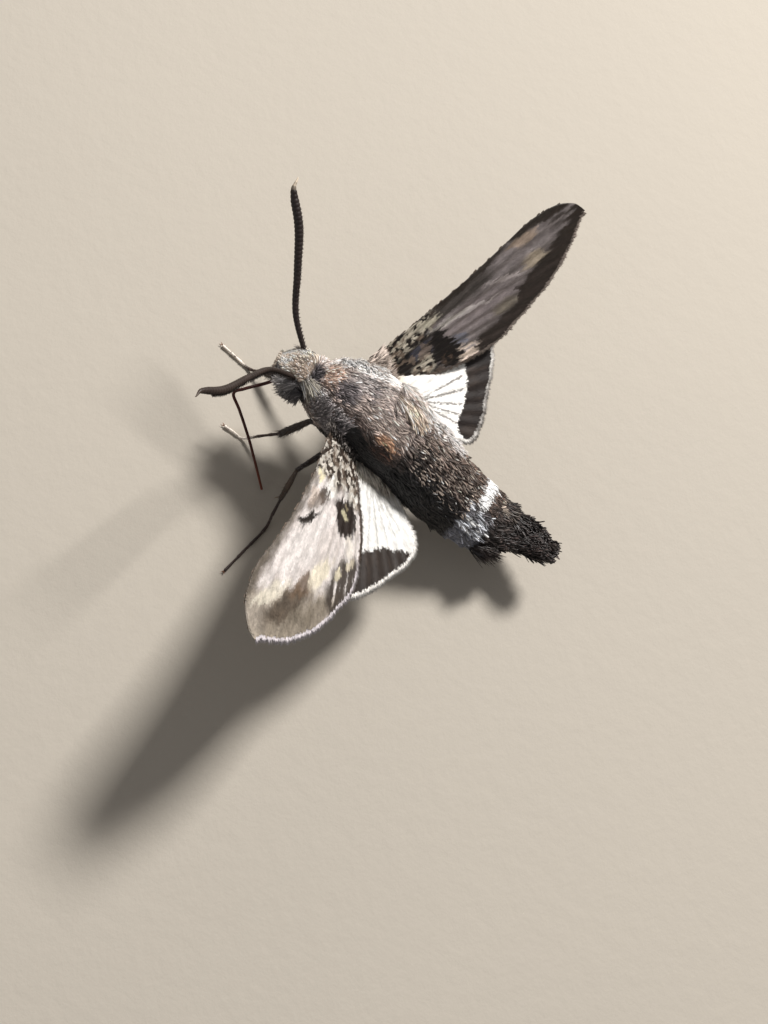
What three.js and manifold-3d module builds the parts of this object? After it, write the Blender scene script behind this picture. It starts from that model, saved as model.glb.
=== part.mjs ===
// A small day-flying hawk moth at life size, standing on its six legs with its wings held out.
// Millimetres, +Z up. The head points to -Y and the moth's left side is +X.
import * as THREE from 'three';
import { mergeVertices } from 'three/addons/utils/BufferGeometryUtils.js';
import Module from 'manifold-3d';

const wasm = await Module();
wasm.setup();

// ---- driving dimensions ------------------------------------------------------------------------

const LEFT = 1;
const RIGHT = -1;
const SIDES = [['left', LEFT], ['right', RIGHT]];

const THORAX_HEIGHT = 6.4;                  // middle of the thorax above the ground
const HEAD_UP = THREE.MathUtils.degToRad(6); // the body's tilt
const GAP = 0.1;                            // between neighbouring pieces
const WING_THICKNESS = 0.5;

// Outline of head, thorax and abdomen out to the tips of the coat, in the body's own frame: place
// along the body, sideways and upright place of the middle, half width, half height.
const TRUNK = [
  [-6.85, 0, -0.55, 0, 0],
  [-6.65, 0, -0.5, 0.75, 0.8],
  [-6.1, 0, -0.35, 1.3, 1.35],
  [-5.2, 0.06, -0.15, 1.54, 1.55],
  [-4.4, 0.06, -0.05, 1.56, 1.57],
  [-3.85, 0.04, 0, 1.68, 1.7],
  [-3.2, 0, 0, 2.25, 2.2],
  [-2.2, 0, 0.1, 2.8, 2.7],
  [-0.8, 0, 0.2, 3.15, 3.0],
  [1.2, 0.1, 0.2, 3.25, 3.05],
  [3.0, 0.3, 0, 3.1, 2.85],
  [5.0, 0.5, -0.6, 2.95, 2.65],
  [7.2, 0.6, -1.35, 2.75, 2.45],
  [9.0, 0.52, -1.95, 2.6, 2.25],
  [10.4, 0.38, -2.3, 2.4, 1.95],
  [11.6, 0.16, -2.4, 2.05, 1.55],
  [13.0, -0.02, -2.15, 1.5, 1.1],
  [14.4, 0.1, -1.65, 1.2, 0.75],
  [15.2, 0.15, -1.3, 0.9, 0.45],
  [15.5, 0.15, -1.15, 0, 0],
];

const NECK = -3.9;
const COLLAR_END = -2.9;
const WAIST = 3.1;
const ABDOMEN_RINGS = [3.1, 4.4, 5.7, 7.0, 8.2, 9.4, 10.5, 11.4];   // ends of the seven rings
const TAIL_END = 15.5;

const EYE = { x: 1.18, y: -4.85, z: -0.7, radius: 0.72 };

// Joints and feet in the ground's frame, for each side.
const ANTENNAE = {
  left: [[0.68, -4.5, 7.3], [2.05, -6.46, 9.06], [3.99, -7.33, 10.57], [6.25, -8.12, 12.18],
    [7.6, -9.05, 13.45], [8.18, -9.46, 13.99]],
  right: [[-0.5, -4.72, 7.3], [-2.01, -6.89, 8.82], [-3.85, -8.18, 10.32], [-5.67, -9.46, 11.81],
    [-6.8, -10.65, 12.77], [-7.49, -11.28, 13.34]],
};

const PROBOSCIS = {
  upper: [[0.15, -5.4, 4.7], [0.95, -6.5, 4.5], [1.85, -7.35, 4.35], [2.3, -7.8, 3.85]],
  lower: [[2.3, -7.8, 3.85], [2.75, -6.93, 3.1], [3.62, -5.5, 2.0], [4.62, -4.15, 1.0],
    [5.42, -3.15, 0.3]],
};

const LEGS = {
  fore_left: { hip: [0.8, -0.7, 3.7], knee: [0.7, -2.7, 3.05], ankle: [2.12, -3.95, 2.0],
    foot: [2.95, -5.9, 0.2], toe: [2.86, -7.3, 0.2] },
  fore_right: { hip: [-0.8, -1.6, 3.8], knee: [-1.3, -4.2, 2.7], ankle: [-1.5, -6.7, 0.95],
    foot: [-1.55, -7.9, 0.2], toe: [-2.02, -10.15, 0.2] },
  mid_left: { hip: [1.3, -0.4, 3.8], knee: [4.52, -1.94, 3.8], ankle: [5.68, -1.83, 1.25],
    foot: [7.6, -1.7, 0.2], toe: [11.4, -2.56, 0.2] },
  mid_right: { hip: [-1.3, -0.4, 3.8], knee: [-3.6, -1.0, 3.5], ankle: [-4.9, -0.7, 1.1],
    foot: [-5.6, -0.4, 0.2], toe: [-7.6, 0.6, 0.2] },
  hind_left: { hip: [1.2, 1.0, 3.8], knee: [3.3, 1.9, 3.5], ankle: [4.5, 2.9, 0.95],
    foot: [4.7, 3.9, 0.2], toe: [5.1, 6.8, 0.2] },
  hind_right: { hip: [-1.2, 1.0, 3.8], knee: [-3.1, 2.2, 3.4], ankle: [-3.7, 3.4, 0.95],
    foot: [-3.8, 4.4, 0.2], toe: [-3.9, 7.5, 0.2] },
};
const LEG_RADII = {
  fore: { femur: [0.45, 0.5, 0.42], tibia: [0.42, 0.5, 0.36] },
  mid: { femur: [0.4, 0.42, 0.32], tibia: [0.3, 0.3, 0.34] },
  hind: { femur: [0.42, 0.45, 0.34], tibia: [0.32, 0.34, 0.34] },
};
const TARSUS_RADIUS = 0.26;

// Wings, in their own plane: first number out along the wing, second number back from the front.
const FOREWING = {
  root: [2.9, -1.7, 1.3],
  leading: [[-0.8, 0], [2, 0.1], [5, 0.12], [8, 0], [11, -0.35], [13.4, -0.7], [15.4, -0.45],
    [16.8, 0.35], [17.4, 1.4]],
  trailing: [[-0.8, 2.3], [1.2, 3.3], [3.6, 4.65], [6, 5.65], [8.2, 6.25], [10.6, 5.8],
    [13.2, 4.95], [15.6, 3.45], [17.4, 1.4]],
  left: { sweep: 0, dihedral: 23.3, twist: 23.5, bow: 0.3 },
  right: { sweep: 19.5, dihedral: 15, twist: 47, bow: -0.25 },
};
const HINDWING = {
  root: [2.7, 0.7, -0.3],
  leading: [[-1, -0.2], [1.5, -0.5], [4, -0.8], [6.5, -0.75], [8.4, -0.3], [9.7, 0.4], [10.2, 1.2]],
  trailing: [[-1, 1.6], [0.6, 3.2], [2, 4.6], [3.5, 5.8], [5.1, 5.5], [6.8, 4.4], [8.5, 3.2],
    [9.8, 2], [10.2, 1.2]],
  left: { sweep: 12, dihedral: 17.8, twist: 17.5, bow: 0 },
  right: { sweep: 18.5, dihedral: -13, twist: 11.5, bow: 0 },
};

// ---- finishes ----------------------------------------------------------------------------------

const finish = (color, roughness) => new THREE.MeshStandardMaterial({ color, roughness, metalness: 0 });
const FINISH = {
  headCoat: finish(0xa39a8b, 0.9),
  thoraxCoat: finish(0x7d7672, 0.9),
  abdomenCoat: finish(0x3a322e, 0.9),
  bandCoat: finish(0xe6e2da, 0.9),
  forewing: finish(0x6d655d, 0.85),
  hindwing: finish(0xd9d5cc, 0.85),
  antenna: finish(0x2a211e, 0.7),
  leg: finish(0x3d332d, 0.75),
  proboscis: finish(0x4a1c16, 0.5),
  eye: finish(0x12100f, 0.15),
};

// ---- making closed shapes ----------------------------------------------------------------------

// Shares a geometry's corners, drops faces that have shrunk to a line, and turns it right side out.
function closed(geometry) {
  const bare = geometry.clone();
  bare.deleteAttribute('normal');
  bare.deleteAttribute('uv');
  const merged = mergeVertices(bare, 1e-5);
  const index = merged.index.array;
  const at = merged.attributes.position;
  const kept = [];
  for (let i = 0; i < index.length; i += 3) {
    const [a, b, c] = [index[i], index[i + 1], index[i + 2]];
    if (a !== b && b !== c && c !== a) kept.push(a, b, c);
  }
  const corners = [0, 1, 2].map(() => new THREE.Vector3());
  let volume = 0;
  for (let i = 0; i < kept.length; i += 3) {
    corners.forEach((corner, j) => corner.fromBufferAttribute(at, kept[i + j]));
    volume += corners[0].dot(corners[1].clone().cross(corners[2]));
  }
  if (volume < 0) kept.reverse();
  merged.setIndex(kept);
  return merged;
}

function toSolid(geometry) {
  const shape = closed(geometry);
  return new wasm.Manifold(new wasm.Mesh({
    numProp: 3,
    vertProperties: new Float32Array(shape.attributes.position.array),
    triVerts: new Uint32Array(shape.index.array),
  }));
}

function cut(geometry, cutters) {
  let solid = toSolid(geometry);
  for (const cutter of cutters) solid = solid.subtract(toSolid(cutter));
  const { vertProperties, triVerts } = solid.getMesh();
  const result = new THREE.BufferGeometry();
  result.setAttribute('position', new THREE.BufferAttribute(vertProperties, 3));
  result.setIndex(new THREE.BufferAttribute(triVerts, 1));
  return result;
}

// From the body's own frame to the ground's.
function stand(geometry) {
  return geometry.rotateX(-HEAD_UP).translate(0, 0, THORAX_HEIGHT);
}

const point = ([x, y, z]) => new THREE.Vector3(x, y, z);

// ---- head, thorax and abdomen ------------------------------------------------------------------

const trunkOutline = new THREE.CubicInterpolant(
  TRUNK.map(([y]) => y), TRUNK.flatMap(([, ...values]) => values), 4);

// The stretch of the trunk between two places along the body, made larger all round by grow.
function trunkLength(from, to, rings, grow = 0) {
  const start = from - grow;
  const length = to + grow - start;
  const sides = 22;
  const profile = [new THREE.Vector2(0, 0)];
  for (let i = 0; i <= rings; i += 1) profile.push(new THREE.Vector2(1, i / rings));
  profile.push(new THREE.Vector2(0, 1));
  const geometry = new THREE.LatheGeometry(profile, sides);
  const at = geometry.attributes.position;
  const first = TRUNK[0][0];
  const last = TRUNK.at(-1)[0];
  for (let i = 0; i < at.count; i += 1) {
    const y = start + length * at.getY(i);
    const inside = THREE.MathUtils.clamp(y, first, last);
    const [sideways, middle, width, height] = trunkOutline.evaluate(inside);
    const across = Math.max(width, 0) + grow;
    const upright = Math.max(height, 0) + grow;
    at.setXYZ(i, sideways + at.getX(i) * across, y, middle + at.getZ(i) * upright);
  }
  return stand(geometry);
}

function eyeball(side, grow = 0) {
  const ball = new THREE.SphereGeometry(EYE.radius + grow, 12, 8);
  return stand(ball.translate(side * EYE.x, EYE.y, EYE.z));
}

// ---- round limbs: a lathe bent along a curve ---------------------------------------------------

// radii are spread evenly from the start to the end; both ends are rounded.
function limb(route, radii, { sides = 8, rings = 6, grow = 0 } = {}) {
  const curve = new THREE.CatmullRomCurve3(route.map(point), false, 'centripetal');
  const length = curve.getLength();
  const tail = radii.length - 1;
  const radiusAt = (t) => {
    const place = THREE.MathUtils.clamp(t, 0, 1) * tail;
    const i = Math.min(Math.floor(place), tail - 1);
    return THREE.MathUtils.lerp(radii[i], radii[i + 1], place - i) + grow;
  };
  const profile = [new THREE.Vector2(0, -radiusAt(0) / length)];
  for (const angle of [-50, -20]) profile.push(capPoint(angle, 0));
  for (let i = 0; i <= rings; i += 1) profile.push(new THREE.Vector2(radiusAt(i / rings), i / rings));
  for (const angle of [20, 50]) profile.push(capPoint(angle, 1));
  profile.push(new THREE.Vector2(0, 1 + radiusAt(1) / length));

  function capPoint(degrees, t) {
    const angle = THREE.MathUtils.degToRad(degrees);
    return new THREE.Vector2(radiusAt(t) * Math.cos(angle), t + radiusAt(t) * Math.sin(angle) / length);
  }

  const geometry = new THREE.LatheGeometry(profile, sides);
  const at = geometry.attributes.position;
  const up = new THREE.Vector3(0, 0, 1);
  for (let i = 0; i < at.count; i += 1) {
    const t = at.getY(i);
    const inside = THREE.MathUtils.clamp(t, 0, 1);
    const along = curve.getTangentAt(inside);
    const middle = curve.getPointAt(inside).addScaledVector(along, (t - inside) * length);
    const across = new THREE.Vector3().crossVectors(along, up).normalize();
    const over = new THREE.Vector3().crossVectors(across, along);
    const place = middle.addScaledVector(across, at.getX(i)).addScaledVector(over, at.getZ(i));
    at.setXYZ(i, place.x, place.y, place.z);
  }
  return geometry;
}

// ---- wings -------------------------------------------------------------------------------------

// The wing's own directions in the body's frame: out along it, back across it, and its upper side.
function wingFrame({ sweep, dihedral, twist }, side) {
  const [turn, lift, roll] = [sweep, dihedral, twist].map(THREE.MathUtils.degToRad);
  const out = new THREE.Vector3(
    side * Math.cos(turn) * Math.cos(lift), Math.sin(turn) * Math.cos(lift), Math.sin(lift));
  const level = new THREE.Vector3(-side * Math.sin(turn), Math.cos(turn), 0);
  const upright = new THREE.Vector3().crossVectors(out, level).multiplyScalar(side);
  const back = level.clone().multiplyScalar(Math.cos(roll)).addScaledVector(upright, -Math.sin(roll));
  const upper = upright.clone().multiplyScalar(Math.cos(roll)).addScaledVector(level, Math.sin(roll));
  return { out, back, upper };
}

function wing(plan, pose, side, steps, grow = 0) {
  const outlineOf = (points) => new THREE.SplineCurve(points.map(([p, q]) => new THREE.Vector2(p, q)));
  const leading = outlineOf(plan.leading);
  const trailing = outlineOf(plan.trailing);
  const span = plan.leading.at(-1)[0];
  const { out, back, upper } = wingFrame(pose, side);
  const geometry = new THREE.BoxGeometry(1, 1, 1, steps.along, steps.across, 1);
  const at = geometry.attributes.position;
  for (let i = 0; i < at.count; i += 1) {
    const u = Math.sin((at.getX(i) + 0.5) * Math.PI / 2);
    const v = at.getY(i) + 0.5;
    const front = leading.getPoint(u);
    const rear = trailing.getPoint(u);
    const place = front.lerp(rear, v);
    const camber = pose.bow * Math.sin(Math.PI * THREE.MathUtils.clamp(place.x / span, 0, 1));
    const depth = at.getZ(i) * (WING_THICKNESS + 2 * grow) + camber;
    const spot = point(plan.root);
    spot.x *= side;
    spot.addScaledVector(out, place.x).addScaledVector(back, place.y).addScaledVector(upper, depth);
    at.setXYZ(i, spot.x, spot.y, spot.z);
  }
  return stand(geometry);
}

// ---- putting the moth together -----------------------------------------------------------------

const moth = new THREE.Group();

function add(name, geometry, material) {
  const mesh = new THREE.Mesh(geometry, material);
  mesh.name = name;
  moth.add(mesh);
}

const half = GAP / 2;
const headCutter = trunkLength(TRUNK[0][0], NECK - half, 12, GAP);
const thoraxCutters = [
  trunkLength(NECK + half, COLLAR_END, 4, GAP),
  trunkLength(COLLAR_END, WAIST, 10, GAP),
];
const abdomenCutter = trunkLength(WAIST, ABDOMEN_RINGS.at(-1), 12, GAP);

// Head with its eyes.
const eyeCutters = SIDES.map(([, side]) => eyeball(side, GAP));
add('head', cut(trunkLength(TRUNK[0][0], NECK - half, 9), eyeCutters), FINISH.headCoat);
for (const [label, side] of SIDES) add(`eye_${label}`, eyeball(side), FINISH.eye);

// Collar and thorax.
add('collar', trunkLength(NECK + half, COLLAR_END - half, 4), FINISH.thoraxCoat);
add('thorax', trunkLength(COLLAR_END + half, WAIST - half, 10), FINISH.thoraxCoat);

// Seven rings of the abdomen and the tail tuft.
for (let i = 1; i < ABDOMEN_RINGS.length; i += 1) {
  const material = i === ABDOMEN_RINGS.length - 2 ? FINISH.bandCoat : FINISH.abdomenCoat;
  const ring = trunkLength(ABDOMEN_RINGS[i - 1] + half, ABDOMEN_RINGS[i] - half, 2);
  add(`abdomen_${i}`, ring, material);
}
add('tail_tuft', trunkLength(ABDOMEN_RINGS.at(-1) + half, TAIL_END, 7), FINISH.abdomenCoat);

// Antennae and proboscis.
for (const [label] of SIDES) {
  const shaft = limb(ANTENNAE[label], [0.25, 0.25, 0.29, 0.34, 0.36, 0.34, 0.25], { rings: 13 });
  add(`antenna_${label}`, cut(shaft, [headCutter]), FINISH.antenna);
}
const proboscisSize = { sides: 7, rings: 8 };
const upperCutter = limb(PROBOSCIS.upper, [0.27, 0.26], { ...proboscisSize, grow: GAP });
add('proboscis_upper', cut(limb(PROBOSCIS.upper, [0.27, 0.26], proboscisSize), [headCutter]),
  FINISH.proboscis);
add('proboscis_lower', cut(limb(PROBOSCIS.lower, [0.26, 0.25], proboscisSize), [upperCutter]),
  FINISH.proboscis);

// Labial palps, in front of the face.
for (const [label, side] of SIDES) {
  const route = [[side * 0.6, -5.3, 5.0], [side * 0.62, -6.2, 4.85], [side * 0.62, -6.85, 5.3]];
  add(`palp_${label}`, cut(limb(route, [0.38, 0.42, 0.26], { rings: 3, sides: 7 }), [headCutter, upperCutter]),
    FINISH.headCoat);
}

// Wings: the hindwing lies just under the forewing.
for (const [label, side] of SIDES) {
  const fore = FOREWING[label];
  const hind = HINDWING[label];
  const foreSteps = { along: 15, across: 6 };
  const foreCutter = wing(FOREWING, fore, side, foreSteps, GAP);
  add(`forewing_${label}`, cut(wing(FOREWING, fore, side, foreSteps), thoraxCutters), FINISH.forewing);
  add(`hindwing_${label}`, cut(wing(HINDWING, hind, side, { along: 11, across: 6 }),
    [...thoraxCutters, abdomenCutter, foreCutter]), FINISH.hindwing);
}

// Legs: each femur, tibia and tarsus, with the tarsus flat where it stands.
const legSize = { rings: 3, sides: 7 };
const ground = new THREE.BoxGeometry(60, 60, 10).translate(0, 0, -5);
for (const [name, { hip, knee, ankle, foot, toe }] of Object.entries(LEGS)) {
  const { femur, tibia } = LEG_RADII[name.split('_')[0]];
  const femurCutter = limb([hip, knee], femur, { grow: GAP, ...legSize });
  const tibiaCutter = limb([knee, ankle], tibia, { grow: GAP, ...legSize });
  add(`femur_${name}`, cut(limb([hip, knee], femur, legSize), thoraxCutters), FINISH.leg);
  add(`tibia_${name}`, cut(limb([knee, ankle], tibia, legSize), [femurCutter, ...thoraxCutters]),
    FINISH.leg);
  const tarsusRoute = [ankle, foot, toe];
  const tarsus = limb(tarsusRoute, [TARSUS_RADIUS, TARSUS_RADIUS], { rings: 7, sides: 6 });
  add(`tarsus_${name}`, cut(tarsus, [tibiaCutter, ground]), FINISH.leg);
}

// The origin is in the middle of the moth's outline, on the ground.
const box = new THREE.Box3().setFromObject(moth);
const middle = box.getCenter(new THREE.Vector3());
moth.position.set(-middle.x, -middle.y, -box.min.z);

export default moth;
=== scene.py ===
from math import cos, pi, radians, sin

import bpy
import numpy as np
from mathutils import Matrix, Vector


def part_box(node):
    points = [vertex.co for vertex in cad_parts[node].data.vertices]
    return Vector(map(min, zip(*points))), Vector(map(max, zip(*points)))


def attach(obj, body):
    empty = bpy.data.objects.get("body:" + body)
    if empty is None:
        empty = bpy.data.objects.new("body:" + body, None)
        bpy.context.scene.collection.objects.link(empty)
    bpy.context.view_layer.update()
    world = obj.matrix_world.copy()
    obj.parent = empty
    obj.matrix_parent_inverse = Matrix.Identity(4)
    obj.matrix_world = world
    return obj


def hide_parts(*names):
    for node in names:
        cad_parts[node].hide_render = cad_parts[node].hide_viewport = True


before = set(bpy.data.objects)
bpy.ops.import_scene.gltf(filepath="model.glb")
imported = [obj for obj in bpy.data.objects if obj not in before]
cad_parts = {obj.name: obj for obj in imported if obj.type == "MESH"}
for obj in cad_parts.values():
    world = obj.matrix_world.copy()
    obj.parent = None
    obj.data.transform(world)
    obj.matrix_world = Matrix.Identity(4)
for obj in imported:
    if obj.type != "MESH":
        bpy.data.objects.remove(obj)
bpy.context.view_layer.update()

bpy.ops.object.select_all(action="DESELECT")


# The stand is a plain pale matt sheet under a museum lamp: one broad soft lamp high on the moth's
# right side, a weak one low on its left, and an even pale room around it.
def paint(red, green, blue):
    """A paint-chart colour, 0 to 255, as the linear colour that Blender mixes."""
    chart = np.array([red, green, blue], float) / 255
    return np.where(chart < 0.04045, chart / 12.92, ((chart + 0.055) / 1.055) ** 2.4)


def add_node(tree, kind, at, inputs=None, **settings):
    node = tree.nodes.new(kind)
    node.location = at
    for key, value in settings.items():
        setattr(node, key, value)
    for key, value in (inputs or {}).items():
        node.inputs[key].default_value = value
    return node


def wire(tree, *links):
    """Joins nodes, each link given as a node, its output, the next node and its input."""
    for source, output, target, entry in links:
        tree.links.new(source.outputs[output], target.inputs[entry])


def new_group(name, inputs, outputs):
    """A node group with its named sockets, its input node and its output node."""
    group = bpy.data.node_groups.new(name, "ShaderNodeTree")
    for way, sockets in (("INPUT", inputs), ("OUTPUT", outputs)):
        for socket, kind in sockets.items():
            group.interface.new_socket(socket, in_out=way, socket_type=kind)
    return group, add_node(group, "NodeGroupInput", (-900, 0)), add_node(group, "NodeGroupOutput", (100, 0))


NUMBER, VECTOR, COLOUR = "NodeSocketFloat", "NodeSocketVector", "NodeSocketColor"
grain, grain_in, grain_out = new_group("Fine Grain", {"Vector": VECTOR, "Scale": NUMBER}, {"Height": NUMBER})
grain_noise = add_node(grain, "ShaderNodeTexNoise", (-350, 0), {"Detail": 4, "Roughness": 0.65})
wire(grain, (grain_in, "Vector", grain_noise, "Vector"), (grain_in, "Scale", grain_noise, "Scale"),
     (grain_noise, "Fac", grain_out, "Height"))

shade, shade_in, shade_out = new_group(
    "Uneven Tint", {"Vector": VECTOR, "Colour": COLOUR, "Scale": NUMBER, "Depth": NUMBER},
    {"Colour": COLOUR, "Mask": NUMBER})
shade_noise = add_node(shade, "ShaderNodeTexNoise", (-650, -120), {"Detail": 3})
shade_low = add_node(shade, "ShaderNodeMath", (-650, 160), {0: 1}, operation="SUBTRACT")
shade_high = add_node(shade, "ShaderNodeMath", (-650, 320), {0: 1}, operation="ADD")
shade_range = add_node(shade, "ShaderNodeMapRange", (-400, 0), {"From Min": 0.3, "From Max": 0.7})
shade_mix = add_node(shade, "ShaderNodeVectorMath", (-150, 0), operation="SCALE")
wire(shade, (shade_in, "Vector", shade_noise, "Vector"), (shade_in, "Scale", shade_noise, "Scale"),
     (shade_in, "Depth", shade_low, 1), (shade_in, "Depth", shade_high, 1),
     (shade_noise, "Fac", shade_range, "Value"), (shade_low, 0, shade_range, "To Min"),
     (shade_high, 0, shade_range, "To Max"), (shade_in, "Colour", shade_mix, 0),
     (shade_range, "Result", shade_mix, "Scale"), (shade_mix, 0, shade_out, "Colour"),
     (shade_noise, "Fac", shade_out, "Mask"))


def finish(name, tint, roughness, spread, patch, depth, bump, grains, sheen=0.0, coat=0.0, specular=0.5):
    """A surface whose tint comes from its mesh, or is one colour, broken up in patches and grained."""
    material = bpy.data.materials.new(name)
    material.use_nodes = True
    tree = material.node_tree
    surface = tree.nodes["Principled BSDF"]
    place = add_node(tree, "ShaderNodeTexCoord", (-1100, 0))
    uneven = add_node(tree, "ShaderNodeGroup", (-600, 150), {"Scale": patch, "Depth": depth}, node_tree=shade)
    if tint is None:
        own = add_node(tree, "ShaderNodeAttribute", (-850, 250), attribute_name="Tint")
        wire(tree, (own, "Color", uneven, "Colour"))
    else:
        uneven.inputs["Colour"].default_value = (*tint, 1)
    rough = add_node(tree, "ShaderNodeMapRange", (-350, -50), {
        "From Min": 0.3, "From Max": 0.7, "To Min": roughness - spread, "To Max": roughness + spread})
    fine = add_node(tree, "ShaderNodeGroup", (-600, -250), {"Scale": grains}, node_tree=grain)
    ridge = add_node(tree, "ShaderNodeBump", (-300, -300), {"Strength": 0.6, "Distance": bump})
    wire(tree, (place, "Object", uneven, "Vector"), (place, "Object", fine, "Vector"),
         (uneven, "Colour", surface, "Base Color"), (uneven, "Mask", rough, "Value"),
         (rough, "Result", surface, "Roughness"), (fine, "Height", ridge, "Height"),
         (ridge, "Normal", surface, "Normal"))
    surface.inputs["Sheen Weight"].default_value = sheen
    surface.inputs["Coat Weight"].default_value = coat
    surface.inputs["Specular IOR Level"].default_value = specular
    return material


bpy.ops.mesh.primitive_plane_add(size=3.0, location=(0, 0, -0.00002))
floor = bpy.context.object
floor.name = "floor"
floor.data.materials.append(finish("floor sheet", paint(170, 163, 152), 0.85, 0.05, 20, 0.03, 0.0001, 700))


def lamp(name, at, aim, width, watts, colour):
    """A square lamp at a place, turned to face its aim."""
    bpy.ops.object.light_add(type="AREA", location=at)
    light = bpy.context.object
    light.name = name
    light.data.size = width
    light.data.energy = watts
    light.data.color = colour
    light.rotation_euler = (Vector(aim) - Vector(at)).to_track_quat("-Z", "Y").to_euler()


lamp("key lamp", (-0.20, 0.03, 0.25), (0, 0, 0.006), 0.07, 1.7, (1.0, 0.975, 0.945))
lamp("fill lamp", (0.22, -0.16, 0.12), (0, 0, 0.006), 0.20, 0.08, (0.92, 0.95, 1.0))
room = bpy.data.worlds.new("pale room")
room.use_nodes = True
room.node_tree.nodes["Background"].inputs["Color"].default_value = (0.91, 0.88, 0.865, 1)
room.node_tree.nodes["Background"].inputs["Strength"].default_value = 0.3
bpy.context.scene.world = room
bpy.context.scene.view_settings.view_transform = "Standard"

bpy.ops.object.camera_add(location=(0.05080, -0.00687, 0.10799))
camera = bpy.context.object
camera.rotation_euler = (radians(19.15), radians(-15.93), radians(117.39))
camera.data.lens = 64.06
camera.data.sensor_width = 36
camera.data.clip_start = 0.004
bpy.context.scene.camera = camera


# The body is one soft skin from the face to the tip of the tail, under a coat about 0.3 mm deep.
# It is drawn along a trunk line, ringed where the plates of the abdomen meet, and hidden by hair
# nearly everywhere, so it carries the same markings in a darker shade.
MM = 0.001
FACE_FRONT = -6.42
SKIN_LENGTH = 21.67
# Each row of the trunk: place along the body, middle x, middle z, half width, half height, in mm.
TRUNK = np.array([
    (-6.85, 0, -0.55, 0, 0), (-6.65, 0, -0.5, 0.75, 0.8), (-6.1, 0, -0.35, 1.3, 1.35),
    (-5.2, 0.06, -0.15, 1.54, 1.55), (-4.4, 0.06, -0.05, 1.56, 1.57), (-3.85, 0.04, 0, 1.68, 1.7),
    (-3.2, 0, 0, 2.25, 2.2), (-2.2, 0, 0.1, 2.8, 2.7), (-0.8, 0, 0.2, 3.15, 3.0),
    (1.2, 0.1, 0.2, 3.25, 3.05), (3.0, 0.3, 0, 3.1, 2.85), (5.0, 0.5, -0.6, 2.95, 2.65),
    (7.2, 0.6, -1.35, 2.75, 2.45), (9.0, 0.52, -1.95, 2.6, 2.25), (10.4, 0.38, -2.3, 2.4, 1.95),
    (11.6, 0.16, -2.4, 2.05, 1.55), (13.0, -0.02, -2.15, 1.5, 1.1), (14.4, 0.1, -1.65, 1.2, 0.75),
    (15.2, 0.15, -1.3, 0.9, 0.45), (15.5, 0.15, -1.15, 0, 0)])
RINGS = (4.4, 5.7, 7.0, 8.2, 9.4, 10.5, 11.4)
EYE = (1.18, -4.85, -0.7)
PITCH = radians(6)
HEIGHT = 6.4
eye_boxes = [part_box("eye_left"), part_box("eye_right")]
eye_middle = np.mean([corner for pair in eye_boxes for corner in pair], axis=0)
OFFSET = eye_middle / MM - (
    0, EYE[1] * cos(PITCH) + EYE[2] * sin(PITCH), EYE[2] * cos(PITCH) - EYE[1] * sin(PITCH) + HEIGHT)


def ground(points):
    """Points in mm above the thorax's place on the floor, as metres in the part's own frame."""
    return (np.asarray(points, float) + OFFSET) * MM


def stand(points):
    """Points in mm along the level body, tipped 6 degrees tail down and set on the legs."""
    points = np.asarray(points, float)
    x, y, z = points[..., 0], points[..., 1], points[..., 2]
    lift = z * cos(PITCH) - y * sin(PITCH) + HEIGHT
    return ground(np.stack([x, y * cos(PITCH) + z * sin(PITCH), lift], -1))


def trunk(y):
    """Middle x, middle z, half width and half height of the body at y, on a smooth curve."""
    at, values = TRUNK[:, 0], TRUNK[:, 1:]
    slope = np.gradient(values, at, axis=0)
    slope[1:-1] = (values[2:] - values[:-2]) / (at[2:] - at[:-2])[:, None]
    y = np.clip(y, at[0], at[-1])
    k = np.clip(np.searchsorted(at, y, side="right") - 1, 0, len(at) - 2)
    span = at[k + 1] - at[k]
    t = ((y - at[k]) / span)[..., None]
    span = span[..., None]
    return ((1 + 2 * t) * (1 - t) ** 2 * values[k] + t * (1 - t) ** 2 * span * slope[k]
            + t * t * (3 - 2 * t) * values[k + 1] + t * t * (t - 1) * span * slope[k + 1])


def ramp(value, low, high):
    """0 below the low value, 1 above the high one, and a smooth step between them."""
    t = np.clip((value - low) / (high - low), 0, 1)
    return t * t * (3 - 2 * t)


def coat_depth(y):
    """How far the skin lies under the outline, deepest at the front of the face and at the tail."""
    face = 0.3 * (1 - ramp(y, -6.3, -5.5))
    thorax = 0.1 * ramp(y, -4.6, -2.6)
    abdomen = -0.08 * ramp(y, 3, 6)
    tail = 0.1 * ramp(y, 10, 12)
    return 0.3 + face + thorax + abdomen + tail


def body_point(turn, y, inset=0.0):
    """A point of the body at an angle from its top (plus is its left side) and a place along it."""
    x, z, wide, high = np.moveaxis(trunk(y), -1, 0)
    wide = np.maximum(wide - inset, wide * 0.45)
    high = np.maximum(high - inset, high * 0.45)
    return np.stack([x + wide * np.sin(turn), y, z + high * np.cos(turn)], -1)


def mottle(u, v, seed):
    """Smooth random patches from 0 to 1, about one to each unit of u and v."""
    size = 97
    table = np.random.default_rng(seed).random((size, size))
    iu, iv = np.floor(u).astype(int), np.floor(v).astype(int)
    fu, fv = ramp(u - iu, 0, 1), ramp(v - iv, 0, 1)
    left, right = iu % size, (iu + 1) % size
    low, high = iv % size, (iv + 1) % size
    lower = table[left, low] * (1 - fu) + table[right, low] * fu
    upper = table[left, high] * (1 - fu) + table[right, high] * fu
    return lower * (1 - fv) + upper * fv


def dab(tint, mask, colour):
    """Lays a colour over the tints as far as the mask says."""
    tint += np.clip(mask, 0, 1)[:, None] * (paint(*colour) - tint)


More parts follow.
